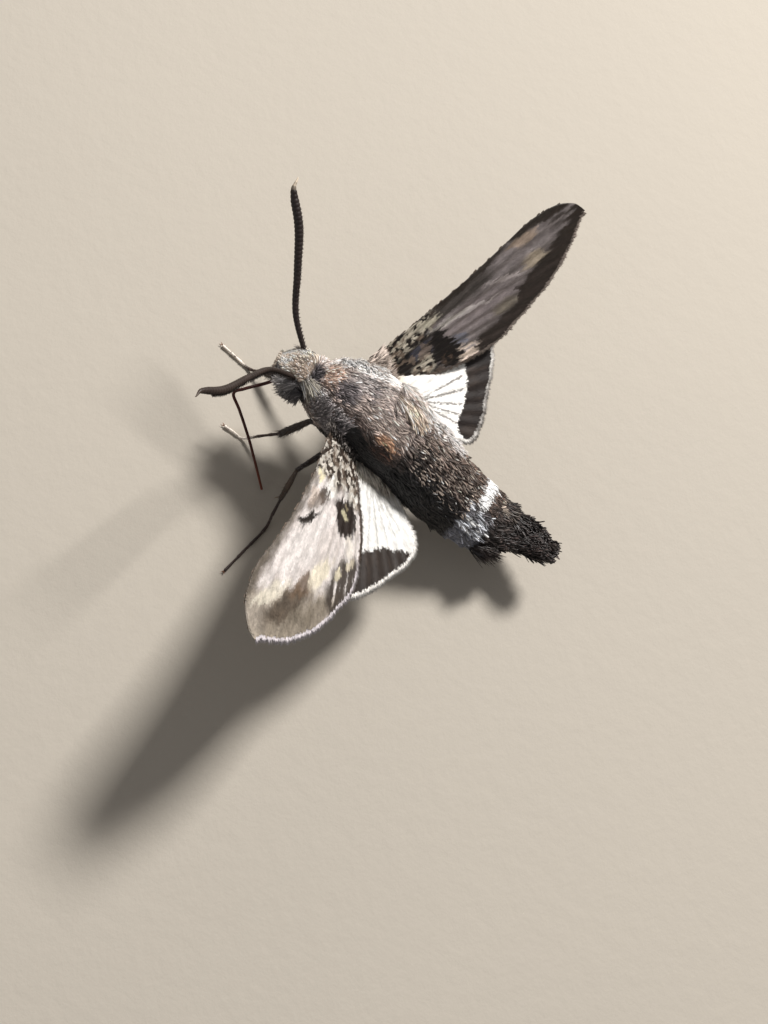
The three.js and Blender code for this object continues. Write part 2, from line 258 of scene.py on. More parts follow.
def oval(u, v, middle, reach, turn=0.0, soft=0.5, corner=2):
    """A soft oval mark, or a squarer one with a higher corner: 1 inside, 0 outside."""
    du, dv = u - middle[0], v - middle[1]
    c, s = cos(radians(turn)), sin(radians(turn))
    a, b = np.abs(du * c + dv * s) / reach[0], np.abs(dv * c - du * s) / reach[1]
    return 1 - ramp((a ** corner + b ** corner) ** (1 / corner), 1 - soft / 2, 1 + soft / 2)


def hair_row(deg, y):
    """Where a hair stands in its overlapping row on the abdomen, from 0 to 1."""
    return ((y + 0.004 * deg + 0.12 * np.sin(deg / 13) - 3.1) / 1.15) % 1


def thorax_marks(tip, deg, far, y, patch, wave):
    """The thorax: grey brown above with dark and pale patches, white on the right partly as painted
    highlight, painted shade on the left.
    """
    dab(tip, oval(deg, y, (0, -3.2), (28, 0.6)), (192, 164, 148))
    dab(tip, oval(deg, y, (-10, -1.5), (18, 0.9)) * 0.8, (160, 151, 148))
    dab(tip, oval(deg, y, (16, -2.0), (18, 0.8)) * ramp(wave, 0.25, 0.55) * 0.85, (74, 70, 74))
    dab(tip, oval(deg, y, (27, -3.1), (8, 0.6)) * 0.8, (88, 76, 70))
    dab(tip, oval(deg, y, (0, -0.2), (14, 0.6)) * ramp(patch, 0.2, 0.45) * 0.8, (84, 77, 79))
    dab(tip, oval(deg, y, (24, 1.2), (13, 1.9)) * 0.6, (170, 154, 144))
    # Painted highlight: the lit right side and the right shoulder are painted near white, over their own pale
    # hair.
    dab(tip, ramp(-far, 20, 36) * ramp(y, -3.6, -2.8), (240, 224, 214))
    dab(tip, oval(deg, y, (-46, -1.4), (20, 2.4)), (255, 246, 240))
    dab(tip, oval(deg, y, (-18, 2.4), (11, 1.2)), (240, 218, 196))
    dab(tip, oval(deg, y, (-38, 1.8), (9, 0.4)) * 0.8, (128, 104, 94))
    # Painted shade: the left side is darkened.
    dab(tip, ramp(far, 30, 42) * ramp(y, -2.8, -2.0), (98, 84, 78))
    dab(tip, oval(deg, y, (42, 1.7), (9, 0.8)), (206, 162, 132))


def abdomen_marks(tip, deg, far, y, patch, wave, abdomen):
    """The abdomen: dark brown in paler-tipped rows, white low on the right, black down the left side as
    painted shade.
    """
    dab(tip, abdomen, (74, 62, 56))
    dab(tip, abdomen * ramp(-far, -4, 14) * (1 - ramp(y, 5.0, 6.6)), (150, 132, 122))
    dab(tip, abdomen * ramp(-far, 12, 30) * ramp(y, 5.0, 7.0), (88, 74, 66))
    # Painted shade: the left side darkens to black, and the flank beneath the left wing is painted near
    # black.
    dab(tip, abdomen * ramp(far, 8, 34), (30, 25, 24))
    dab(tip, abdomen * ramp(far, 36, 56), (17, 15, 17))
    tip *= (1 + abdomen * (0.9 * hair_row(deg, y) ** 2 - 0.28))[:, None]
    flank_painted_shade = ramp(far - 2.5 * np.clip(0.5 - y, 0, 3), 44, 54) * (1 - ramp(deg, 120, 150))
    dab(tip, flank_painted_shade * ramp(y, -2.6, -1.6), (13, 11, 12))
    dab(tip, oval(deg, y, (57, 1.9), (8, 1.0)) * 0.7, (72, 50, 40))
    dab(tip, oval(deg, y, (-50, 4.6), (27, 1.7)), (252, 244, 240))
    dab(tip, ramp(y, 10.3, 10.9), (54, 46, 43))
    dab(tip, oval(deg, y, (-30, 11.1), (18, 0.6)) * ramp(patch, 0.3, 0.6), (150, 138, 126))
    dab(tip, ramp(y, 11.6, 12.4) * ramp(wave, 0.1, 0.4), (36, 28, 26))
    belly = ramp(np.abs(deg), 118, 150) * ramp(y, -3.6, -2.8)
    dab(tip, belly, (150, 142, 134))


def band_marks(tip, deg, far, y, band):
    """The white band before the tail, broken up into grey and white flecks down the left side."""
    dab(tip, band * (1 - ramp(far, 4, 20)), (255, 255, 255))
    before_tail = 1 - ramp(y, 10.5, 10.8)
    grey = ramp(y, 8.3, 8.6) * before_tail * ramp(far, 46, 56)
    dab(tip, grey * (1 - ramp(deg, 140, 170)), (118, 120, 130))
    speckled = ramp(y, 8.4, 8.7) * before_tail * ramp(deg, 8, 18) * (1 - ramp(deg, 54, 62))
    dab(tip, speckled * 0.5, (118, 118, 124))
    dab(tip, speckled * ramp(mottle(deg / 7, y * 2.2, 17), 0.5, 0.62), (238, 242, 250))


def head_marks(tip, root, deg, far, y):
    """The head: cream at the front and on the right, there partly painted highlight, brown grey behind, dark
    low on both sides and on the left as painted shade.
    """
    head = 1 - ramp(y, -4.5, -4.3)
    dab(tip, head, (172, 156, 142))
    dab(tip, head * (1 - ramp(y, -5.9, -5.5)), (252, 234, 218))
    # Partly painted highlight on the lit right side.
    dab(tip, head * ramp(-far, 10, 24), (246, 230, 212))
    # Painted shade down the left side.
    dab(tip, head * ramp(far, 36, 46) * ramp(y, -5.8, -5.4), (82, 76, 72))
    dab(tip, head * ramp(deg, 52, 62), (104, 100, 100))
    dab(tip, head * ramp(-deg, 74, 92), (110, 106, 104))
    dab(tip, head * ramp(np.abs(deg), 105, 130), (70, 66, 66))
    dab(root, head, (134, 118, 104))
    dab(root, head * ramp(np.abs(deg), 46, 62), (34, 31, 32))


def neck_marks(tip, root, deg, y):
    """The neck: a dark spot on its left of the middle, partly painted shade in the groove behind the head,
    grey beside it, cream on the right, partly painted highlight.
    """
    neck = ramp(y, -4.5, -4.3) * (1 - ramp(y, -3.9, -3.7))
    # Partly painted shade: the groove behind the head is darkened.
    dab(tip, neck * ramp(deg, -16, -4), (96, 90, 90))
    dab(tip, neck * ramp(deg, -10, 4) * (1 - ramp(deg, 28, 38)), (66, 62, 64))
    dab(tip, neck * ramp(deg, 32, 40) * (1 - ramp(deg, 70, 82)), (168, 163, 160))
    dab(root, neck * ramp(deg, -16, -4), (44, 41, 43))
    # Partly painted highlight: the lit right side is cream.
    dab(tip, neck * (1 - ramp(deg, -22, -12)), (246, 228, 218))


def body_tint(turn, y):
    """The moth's body colours at the root and the tip of each hair."""
    deg = np.degrees((turn + pi) % (2 * pi) - pi)
    patch = mottle(deg / 14, y * 1.6, 3)
    wave = mottle(deg / 9 + 40, y * 1.1, 8)
    ragged = 14 * (patch - 0.5)
    far = deg + ragged
    abdomen = ramp(y + 0.02 * ragged, 2.9, 3.8)
    band = ramp(y + 0.02 * ragged, 8.95, 9.08) * (1 - ramp(y - 0.02 * ragged + 0.006 * deg, 9.7, 9.85))
    band = band * ramp(far, -125, -105)
    tip = np.tile(paint(148, 134, 127), (len(y), 1))
    thorax_marks(tip, deg, far, y, patch, wave)
    abdomen_marks(tip, deg, far, y, patch, wave, abdomen)
    band_marks(tip, deg, far, y, band)
    root = tip * (0.5 - 0.25 * abdomen)[:, None]
    dab(root, oval(deg, y, (-50, 4.6), (25, 1.6)), (205, 196, 192))
    dab(root, band * (1 - ramp(deg, 12, 26)), (210, 210, 210))
    head_marks(tip, root, deg, far, y)
    neck_marks(tip, root, deg, y)
    collar = ramp(y, -3.9, -3.7) * (1 - ramp(y, -2.9, -2.3))
    dab(tip, collar * ramp(far, 34, 44) * (1 - ramp(deg, 62, 74)), (164, 158, 156))
    return root * (0.8 + 0.4 * wave)[:, None], tip * (0.82 + 0.36 * patch)[:, None]


def set_tint(mesh, tint):
    """Gives each point of a mesh its colour, which the finishes without a tint of their own read."""
    layer = mesh.color_attributes.new("Tint", "FLOAT_COLOR", "POINT")
    layer.data.foreach_set("color", np.concatenate([tint, np.ones((len(tint), 1))], 1).ravel())


def face_outwards(merge=0.0):
    """Closes doubles where asked, then turns the faces of the active mesh outwards and smooths them."""
    bpy.ops.object.mode_set(mode="EDIT")
    bpy.ops.mesh.select_all(action="SELECT")
    if merge:
        bpy.ops.mesh.remove_doubles(threshold=merge)
    bpy.ops.mesh.normals_make_consistent(inside=False)
    bpy.ops.object.mode_set(mode="OBJECT")
    bpy.ops.object.shade_smooth()


bpy.ops.object.select_all(action="DESELECT")
bpy.ops.mesh.primitive_uv_sphere_add(segments=96, ring_count=180, radius=1)
skin = bpy.context.object
skin.name = "skin"
ball = np.array([v.co for v in skin.data.vertices], float)
along = 1 - np.degrees(np.arccos(np.clip(ball[:, 2], -1, 1))) / 180
turn = np.arctan2(ball[:, 0], ball[:, 1])
y = FACE_FRONT + along * SKIN_LENGTH
crease = sum(np.exp(-((y - ring) / 0.14) ** 2) for ring in RINGS)
shape = body_point(turn, y, coat_depth(y) + 0.05 * crease)
middle_x, middle_z = trunk(y)[:, 0], trunk(y)[:, 1]
poles = np.hypot(ball[:, 0], ball[:, 1]) < 1e-6
shape[poles] = np.stack([middle_x, y, middle_z], -1)[poles]
skin.data.vertices.foreach_set("co", stand(shape).ravel())
root, tip = body_tint(turn, y)
set_tint(skin.data, root * 0.6 + tip * 0.15)
face_outwards()
skin.data.materials.append(finish("moth skin", None, 0.7, 0.1, 2500, 0.25, 0.00003, 9000, sheen=0.2))
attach(skin, "root")
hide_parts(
    "head", "palp_left", "palp_right", "collar", "thorax", "abdomen_1", "abdomen_2", "abdomen_3",
    "abdomen_4", "abdomen_5", "abdomen_6", "abdomen_7", "tail_tuft")


# The coat is hair and hair-like scales, each rooted in the skin and lying back along the body. Every
# tuft is a thin tapered lock with a closed root; each coat piece is one mesh of many such locks.
def joined(name, points, triangles, tint, spots):
    """One mesh object from arrays of points, triangles, point colours and bake-map places."""
    mesh = bpy.data.meshes.new(name)
    mesh.vertices.add(len(points))
    mesh.vertices.foreach_set("co", points.astype(np.float32).ravel())
    mesh.loops.add(triangles.size)
    mesh.loops.foreach_set("vertex_index", triangles.astype(np.int32).ravel())
    mesh.polygons.add(len(triangles))
    mesh.polygons.foreach_set("loop_start", np.arange(0, triangles.size, 3, dtype=np.int32))
    mesh.polygons.foreach_set("use_smooth", np.ones(len(triangles), bool))
    mesh.update(calc_edges=True)
    set_tint(mesh, tint)
    layer = mesh.uv_layers.new(name="OFBake")
    layer.data.foreach_set("uv", spots[triangles.ravel()].astype(np.float32).ravel())
    piece = bpy.data.objects.new(name, mesh)
    bpy.context.scene.collection.objects.link(piece)
    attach(piece, "root")
    return piece


def unit(vectors):
    return vectors / np.maximum(np.linalg.norm(vectors, axis=-1, keepdims=True), 1e-9)


LOCK_ON_MAP = (0.0015, 0.003)
LOCK_FLATNESS = 0.36


def locks(name, place, root, ahead, up, length, width, curl, sway, tints, map_at, steps=(0, 0.45, 1),
          blunt=False):
    """Many tapered three-sided locks as one mesh: rooted, pointing ahead, curling down and sideways."""
    n, rows = len(root), len(steps) - 1
    side = unit(np.cross(ahead, up))
    map_wide, map_long = LOCK_ON_MAP
    points, colours, spots = [], [], []
    for k, t in enumerate(steps):
        down = (length * curl * t * t / 2)[:, None] * up
        sideways = (length * sway * t * t / 2)[:, None] * side
        middle = root + (length * t)[:, None] * ahead - down + sideways
        tone = tints[0] * (1 - t ** 0.8) + tints[1] * t ** 0.8
        if k == rows:
            points.append(middle[:, None])
            colours.append(tone[:, None])
            spots.append((map_at + LOCK_ON_MAP)[:, None])
            continue
        swell = 0.5 if t == 0 else 1.0 if k == 1 else 0.8 if blunt else 0.55
        ring = []
        for angle in (90, 210, 330):
            ring.append(middle + (width / 2 * swell)[:, None] * (
                cos(radians(angle)) * side + LOCK_FLATNESS * sin(radians(angle)) * up))
        points.append(np.stack(ring, 1))
        colours.append(np.repeat(tone[:, None], 3, 1))
        spots.append(np.stack([map_at + (map_wide * i, map_long * t) for i in range(3)], 1))
    each = 3 * rows + 1
    pattern = [(0, 1, 2)]
    for k in range(rows - 1):
        for i in range(3):
            a, b = 3 * k + i, 3 * k + (i + 1) % 3
            pattern += [(a, a + 3, b + 3), (a, b + 3, b)]
    pattern += [(3 * rows - 3 + i, 3 * rows, 3 * rows - 3 + (i + 1) % 3) for i in range(3)]
    triangles = (np.arange(n)[:, None, None] * each + np.array(pattern)[None]).reshape(-1, 3)
    points = place(np.concatenate(points, 1).reshape(-1, 3))
    points[:, 2] = np.maximum(points[:, 2], 0)
    return joined(name, points, triangles, np.concatenate(colours, 1).reshape(-1, 3),
                  np.concatenate(spots, 1).reshape(-1, 2))


HAIR = finish("scale hair", None, 0.42, 0.1, 1500, 0.12, 0.000004, 30000, sheen=0.04, specular=0.4)


def body_coat(name, seed, count, reach, long, wide, lift, comb, arc=(-180, 180), inset=0.0, vivid=1.15,
              wild=9, tint=None, steps=(0, 0.36, 0.92, 1)):
    """A coat on part of the body: reach is from y to y, comb gives the way the hair lies."""
    rng = np.random.default_rng(seed)
    tries = count * 3
    y = rng.uniform(reach[0], reach[1], tries)
    turn = np.radians(rng.uniform(arc[0], arc[1], tries))
    size = trunk(y)[:, 2] + 0.15
    deg = np.degrees(turn)
    keep = rng.random(tries) < size / 3.4 * (1 - 0.45 * ramp(np.abs(deg), 100, 130))
    y, turn, deg = y[keep][:count], turn[keep][:count], deg[keep][:count]
    n = len(y)
    depth = coat_depth(y) + inset
    here = body_point(turn, y, depth)
    back = unit(body_point(turn, y + 0.05, depth) - body_point(turn, y - 0.05, depth))
    out = unit(np.cross(body_point(turn + 0.01, y, depth) - body_point(turn - 0.01, y, depth), back))
    side = np.cross(out, back)
    way, rise = comb(deg, y)
    way = np.radians(way + rng.normal(0, wild, n) + 44 * (mottle(deg / 9, y * 1.6, seed + 5) - 0.5))
    rise = np.radians(np.clip(rise + rng.normal(0, lift, n), 2, 88))
    lie = np.cos(way)[:, None] * back + np.sin(way)[:, None] * side
    ahead = np.cos(rise)[:, None] * lie + np.sin(rise)[:, None] * out
    up = unit(np.cross(np.cross(ahead, out), ahead))
    clump = mottle(deg / 10, y * 1.8, seed + 9)
    length = long(deg, y) * rng.uniform(0.75, 1.2, n) * (0.72 + 0.5 * clump)
    width = wide * rng.uniform(0.7, 1.3, n)
    seen_at = y + 0.6 * length * np.cos(way) * np.cos(rise)
    root, tip = body_tint(turn, seen_at) if tint is None else tint(deg, seen_at)
    bundle = mottle(deg / 4.5 + 0.4 * y, y * 2.2, seed + 3)
    glint = (0.3 + 0.72 * bundle + np.where(rng.random(n) < 0.22, rng.uniform(0.4, 2.2, n), 0))[:, None]
    tints = (root * rng.uniform(0.5, 1.0, n)[:, None], np.clip(tip * glint * vivid, 0, 0.92))
    map_at = np.stack([np.clip(turn / (2 * pi) + 0.5, 0.002, 0.993), (y + 7.5) / 24], 1)
    piece = locks(name, stand, here, ahead, up, length, width, 0.45 + rng.normal(0, 0.1, n),
                  rng.normal(0, 0.25, n), tints, map_at, steps, True)
    piece.data.materials.append(HAIR)
    return piece


def thorax_comb(deg, y):
    shoulder = ramp(deg, 54, 64) * (1 - ramp(y, -1.6, -0.6))
    return -deg * 0.10 + 70 * shoulder, 8 + 5 * (1 - ramp(y, -3.2, -2.0)) * (1 - shoulder)


def abdomen_comb(deg, y):
    return -deg * 0.06, 6 + 17 * hair_row(deg, y) ** 2


def even(length):
    """Hair that is all one length before it is varied."""
    return lambda deg, y: np.full(len(y), float(length))


def root_tint(red, green, blue, root=0.3):
    """One colour of hair, darker at its root."""
    colour = paint(red, green, blue)
    return lambda deg, y: (np.tile(colour * root, (len(y), 1)), np.tile(colour, (len(y), 1)))


def swept(way, rise):
    """Hair that all lies one way: degrees round from the tail, and degrees up from the skin."""
    return lambda deg, y: (np.full(len(y), float(way)), np.full(len(y), float(rise)))


coat_pieces = [
    body_coat("coat_thorax_under", 11, 8000, (-3.7, 3.9), even(0.8), 0.16, 3, thorax_comb, inset=0.04,
              vivid=0.75, steps=(0, 0.45, 1)),
    body_coat("coat_thorax", 12, 9800, (-3.7, 3.5), even(0.55), 0.15, 3.5, thorax_comb, (-125, 125), 0.02,
              1.55),
    body_coat("coat_abdomen_front", 13, 8800, (2.8, 7.2), even(0.64), 0.15, 6, abdomen_comb, vivid=1.35),
    body_coat("coat_abdomen_rear", 14, 8800, (7.0, 11.4), even(0.6), 0.15, 6, abdomen_comb, vivid=1.35),
    body_coat("coat_band", 19, 1300, (8.9, 9.3), even(0.62), 0.14, 4, swept(0, 13), (-112, 8), -0.04,
              1.7, 4, root_tint(255, 255, 255, 0.8)),
    # Pale flecks on the abdomen: partly pale-tipped scales, partly painted glints.
    body_coat("coat_abdomen_flecks_and_glints", 20, 400, (3.2, 8.6), even(0.4), 0.1, 5, abdomen_comb, (-42, 44), -0.1,
              1.2, tint=root_tint(184, 168, 156)),
    body_coat("coat_side_white", 15, 2200, (3.1, 5.9), even(0.95), 0.12, 6, swept(-6, 20), (-92, -40), 0.05,
              tint=root_tint(246, 238, 234)),
    body_coat("coat_root_right", 16, 1300, (0.6, 2.9), even(1.0), 0.1, 5, swept(-28, 13), (-72, -8), -0.02,
              1.4),
    body_coat("coat_shoulder_left", 17, 1700, (-3.9, -1.0), even(1.0), 0.09, 4, swept(66, 7), (62, 100),
              wild=7, tint=root_tint(128, 122, 122)),
    # Partly painted highlight: the right shoulder's pale hair is tinted near white.
    body_coat("coat_shoulder_right", 18, 1300, (-3.4, -0.9), even(0.9), 0.09, 5, swept(-60, 9), (-92, -48),
              0.0, 1.5, 7, root_tint(252, 240, 232)),
]


# Head, collar and tail carry their own hair: short and dense on the face, swept forward between the
# feelers, in long lashes over the eyes, in a ruff round the neck, and in a flat brush with tufts at
# the tail. It is the same tapered hair as the body's, rooted in the same skin.
def head_comb(deg, y):
    wide = np.abs(deg)
    forward = (1 - ramp(wide, 60, 95)) * (1 - ramp(y, -4.5, -4.1))
    way = forward * 180 + np.where(deg > 0, 1, -1) * (1 - forward) * 30 * (1 - ramp(y, -4.4, -4.0))
    rise = 17 + 26 * ramp(y, -5.4, -4.6) * (1 - ramp(wide, 36, 60)) - 5 * (1 - ramp(y, -6.4, -6.0))
    return way, rise


def head_long(deg, y):
    return 0.26 + 0.22 * ramp(y, -6.1, -5.0) * (1 - ramp(np.abs(deg), 50, 90))


def ruff_comb(deg, y):
    return -deg * 0.05 + 50 * ramp(deg, 42, 60), 24 - 12 * ramp(y, -3.9, -3.2)


def tail_comb(deg, y):
    return 8 * np.sin(np.radians(deg)) + 10 * np.sin(deg / 11), 9 + 22 * hair_row(deg, y) ** 2


def face_coat(name, seed, count):
    """Hair on the blunt front of the face, spreading from its middle and pointing down."""
    rng = np.random.default_rng(seed)
    turn = rng.uniform(-pi, pi, count)
    far = np.sqrt(rng.uniform(0, 1, count))[:, None]
    y = np.full(count, FACE_FRONT)
    middle = np.array([0, FACE_FRONT, trunk(y)[0, 1]])
    outward = body_point(turn, y, coat_depth(y)) - middle
    root = middle + far * outward + (0, 0.04, 0)
    ahead = unit(outward * far * 0.9 + rng.normal(0, 0.1, (count, 3)) + (0, -0.5, -0.4))
    up = unit(np.cross(np.cross(ahead, (0, -0.7, 0.7)), ahead))
    tip = paint(236, 218, 202) * rng.uniform(0.4, 1.3, count)[:, None]
    map_at = np.stack([turn / (2 * pi) * 0.98 + 0.5, 0.03 + 0.012 * far[:, 0]], 1)
    length = rng.uniform(0.2, 0.34, count)
    width = rng.uniform(0.05, 0.08, count)
    piece = locks(name, stand, root, ahead, up, length, width, np.full(count, 0.4),
                  rng.normal(0, 0.2, count), (tip * 0.5, np.clip(tip, 0, 0.92)), map_at,
                  (0, 0.36, 0.92, 1), True)
    piece.data.materials.append(HAIR)
    return piece


head_coats = [
    body_coat("coat_head", 21, 8000, (-6.38, -3.95), head_long, 0.07, 6, head_comb, vivid=1.75),
    face_coat("coat_face", 28, 620),
    body_coat("coat_collar", 22, 3600, (-4.4, -3.2), even(0.55), 0.085, 5, ruff_comb, vivid=1.45),
    body_coat("coat_cheek", 24, 360, (-4.75, -4.35), even(1.15), 0.07, 4, swept(-22, 22), (26, 52), -0.06,
              wild=6, tint=root_tint(206, 198, 184)),
    body_coat("coat_lash", 25, 520, (-5.5, -4.7), even(1.0), 0.055, 5, swept(-142, 20), (54, 84), -0.16,
              wild=15, tint=root_tint(150, 146, 146, 0.45)),
    body_coat("coat_brow", 26, 620, (-5.0, -4.1), even(1.0), 0.055, 5, swept(-112, 22), (70, 96), -0.2,
              wild=15, tint=root_tint(84, 81, 83, 0.5)),
    body_coat("coat_lash_right", 27, 420, (-5.4, -4.9), even(0.7), 0.055, 7, swept(-164, 12), (-76, -46),
              -0.02, wild=14, tint=root_tint(190, 178, 168)),
]
tail_coats = [
    body_coat("coat_tail", 31, 5200, (10.9, 13.9), even(0.75), 0.15, 7, tail_comb, vivid=1.3, wild=12),
    body_coat("coat_tail_brush", 32, 2300, (13.2, 14.9), even(0.62), 0.14, 8, tail_comb, (-170, 75), 0.08,
              1.3, 12),
    body_coat("tail_tuft_side", 33, 460, (10.3, 11.3), even(1.35), 0.12, 7, swept(24, 34), (78, 112),
              vivid=1.3),
    body_coat("tail_tuft_left", 34, 520, (12.9, 13.9), even(1.15), 0.12, 7, swept(14, 16), (60, 125), 0.1,
              1.3),
    body_coat("tail_tuft_right", 35, 460, (12.2, 13.1), even(0.95), 0.12, 6, swept(-10, 26), (-110, -44),
              vivid=1.3),
]


# The eyes are dark glossy domes of fine facets, set low on the sides of the head, each in a socket
# under the root of its feeler.
facets = finish("eye glass", paint(18, 12, 11), 0.45, 0.05, 900, 0.2, 0.000002, 9000, coat=0.05,
                specular=0.25)
glass = facets.node_tree
cells = add_node(glass, "ShaderNodeTexVoronoi", (-600, -450), {"Scale": 17000})
facet_ridge = add_node(glass, "ShaderNodeBump", (-80, -420), {"Strength": 0.5, "Distance": 0.000006})
eye_place = add_node(glass, "ShaderNodeTexCoord", (-800, -450))
wire(glass, (eye_place, "Object", cells, "Vector"), (cells, "Distance", facet_ridge, "Height"),
     (glass.nodes["Bump"], "Normal", facet_ridge, "Normal"),
     (facet_ridge, "Normal", glass.nodes["Principled BSDF"], "Normal"))
EYE_RADIUS = 0.70
for name, box in zip(("eye_left", "eye_right"), eye_boxes):
    bpy.ops.object.select_all(action="DESELECT")
    middle = (box[0] + box[1]) / 2
    bpy.ops.mesh.primitive_uv_sphere_add(segments=48, ring_count=32, radius=EYE_RADIUS * MM, location=middle)
    eye = bpy.context.object
    eye.name = name + "_dome"
    eye.scale = (0.94, 1.04, 1.0)
    bpy.ops.object.transform_apply(location=True, rotation=True, scale=True)
    bpy.ops.object.shade_smooth()
    eye.data.materials.append(facets)
    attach(eye, "root")
    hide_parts(name)


# Each wing is a thin stiff film pleated along its veins, shingled above and below with flat scales
# that carry its pattern, and fringed with hair scales along the outer edge.
# Each wing has its edges in mm out from and back across its root, and for each side its sweep, its
# dihedral and its twist in degrees and its bow in mm.
FOREWING = {
    "root": (2.9, -1.7, 1.3), "pole": (-5.0, 1.6), "pleats": 105, "span": 17.4,
    "leading": [(-0.8, 0), (2, 0.1), (5, 0.12), (8, 0), (11, -0.35), (13.4, -0.7), (15.4, -0.45),
                (16.8, 0.35), (17.4, 1.4)],
    "trailing": [(-0.8, 2.3), (1.2, 3.3), (3.6, 4.65), (6, 5.65), (8.2, 6.25), (10.6, 5.8), (13.2, 4.95),
                 (15.6, 3.45), (17.4, 1.4)],
    "left": (0, 23.3, 23.5, 0.3), "right": (19.5, 15, 47, -0.25)}
HINDWING = {
    "root": (2.7, 0.7, -0.3), "pole": (-2.2, 0.4), "pleats": 62, "span": 10.2,
    "leading": [(-1, -0.2), (1.5, -0.5), (4, -0.8), (6.5, -0.75), (8.4, -0.3), (9.7, 0.4), (10.2, 1.2)],
    "trailing": [(-1, 1.6), (0.6, 3.2), (2, 4.6), (3.5, 5.8), (5.1, 5.5), (6.8, 4.4), (8.5, 3.2), (9.8, 2),
                 (10.2, 1.2)],
    "left": (12, 17.8, 17.5, 0), "right": (18.5, -13, 11.5, 0)}


def edge(points, u):
    """A smooth curve through the points, evenly timed, for u from 0 to 1."""
    points = np.asarray(points, float)
    at = np.clip(u, 0, 1) * (len(points) - 1)
    k = np.minimum(at.astype(int), len(points) - 2)
    t = (at - k)[..., None]
    before, after = points[np.maximum(k - 1, 0)], points[np.minimum(k + 2, len(points) - 1)]
    here, there = points[k], points[k + 1]
    m0, m1 = (there - before) / 2, (after - here) / 2
    return ((2 * here - 2 * there + m0 + m1) * t ** 3 + (3 * there - 3 * here - 2 * m0 - m1) * t ** 2
            + m0 * t + here)


def wing_relief(wing, p, q):
    """The height of the wing's pleats, which fan out from its pole and fade towards the body."""
    fan = np.arctan2(q - wing["pole"][1], p - wing["pole"][0])
    grown = ramp(p, 0, 3)
    return 0.028 * grown * np.cos(fan * wing["pleats"]) + 0.02 * grown * np.cos(fan * wing["pleats"] * 0.37)


def wing_point(wing, side, p, q, height):
    """A point p out along the wing and q back across it, so high above its middle, in mm."""
    sweep, dihedral, twist, bow = wing[side]
    s = 1 if side == "left" else -1
    sw, dh, tw = radians(sweep), radians(dihedral), radians(twist)
    out = np.array([s * cos(sw) * cos(dh), sin(sw) * cos(dh), sin(dh)])
    level = np.array([-s * sin(sw), cos(sw), 0])
    upright = np.cross(out, level) * s
    back = level * cos(tw) - upright * sin(tw)
    upper = upright * cos(tw) + level * sin(tw)
    rise = height + wing_relief(wing, p, q) + bow * np.sin(pi * np.clip(p, 0, None) / wing["span"])
    root = np.array(wing["root"]) * (s, 1, 1)
    return stand(root + p[..., None] * out + q[..., None] * back + rise[..., None] * upper)


def trailing_edge(wing, u, fringe):
    """The film's rear edge, drawn in by the fringe's length where the fringe grows."""
    rear = wing["trailing"]
    ahead = unit(edge(rear, u + 0.01) - edge(rear, u - 0.01))
    inward = np.stack([ahead[..., 1], -ahead[..., 0]], -1)
    return edge(rear, u) + inward * (fringe * ramp(u, 0.3, 0.5) * (1 - ramp(u, 0.97, 1)))[..., None]


def fleck(p, q, a, b, width):
    """A soft stroke from a to b."""
    a, b = np.array(a, float), np.array(b, float)
    t = np.clip(((p - a[0]) * (b - a)[0] + (q - a[1]) * (b - a)[1]) / ((b - a) @ (b - a)), 0, 1)
    far = np.hypot(p - a[0] - t * (b - a)[0], q - a[1] - t * (b - a)[1])
    return 1 - ramp(far, width * 0.35, width * 0.75)


# Marks of the upper forewing, in order: middle, reach, turn, strength, colour.
# The left marks are painted lighter, partly as painted light, and the right ones darker, partly as painted
# shade.
LEFT_GROUND = [
    ((8.6, 1.7), (3.6, 1.0), -8, 0.7, (240, 233, 229)), ((7.4, 3.3), (2.3, 0.8), -6, 0.5, (212, 202, 196)),
    ((14.6, 3.0), (2.6, 1.0), -30, 0.85, (124, 114, 100)), ((13.6, 2.2), (2.4, 0.6), -24, 0.9, (88, 76, 64)),
    ((11.4, 2.75), (1.4, 0.45), -22, 0.85, (112, 92, 74)),
    ((12.4, 4.0), (1.8, 0.7), -26, 0.75, (128, 118, 104))]
LEFT_MARKS = [
    ((13.9, 0.95), (1.8, 0.38), -26, 0.75, (234, 226, 208)),
    ((9.6, 3.45), (1.5, 0.45), -8, 0.95, (242, 232, 210)),
    ((5.4, 0.8), (0.8, 0.3), 0, 0.7, (232, 214, 200)), ((7.25, 1.1), (1.35, 0.26), -26, 1.0, (46, 40, 36)),
    ((4.5, 1.45), (0.8, 0.4), -20, 0.9, (72, 60, 52)), ((5.6, 1.1), (1.1, 0.4), -18, 0.7, (104, 90, 78))]
LEFT_SPOTS = [
    ((3.45, 0.66), (0.48, 0.3), 0, 1.0, (240, 230, 196)),
    ((3.6, 1.75), (0.65, 0.42), 10, 1.0, (246, 243, 238)),
    ((2.75, 2.95), (0.5, 0.34), 60, 1.0, (244, 240, 234)),
    ((2.35, 3.6), (0.4, 0.24), 60, 0.9, (240, 236, 228)),
    ((5.6, 4.6), (0.9, 0.3), 24, 0.8, (240, 232, 220)), ((8.3, 4.6), (0.4, 0.2), -20, 0.9, (226, 216, 190)),
    ((6.9, 5.2), (0.4, 0.2), 0, 0.8, (216, 204, 182))]
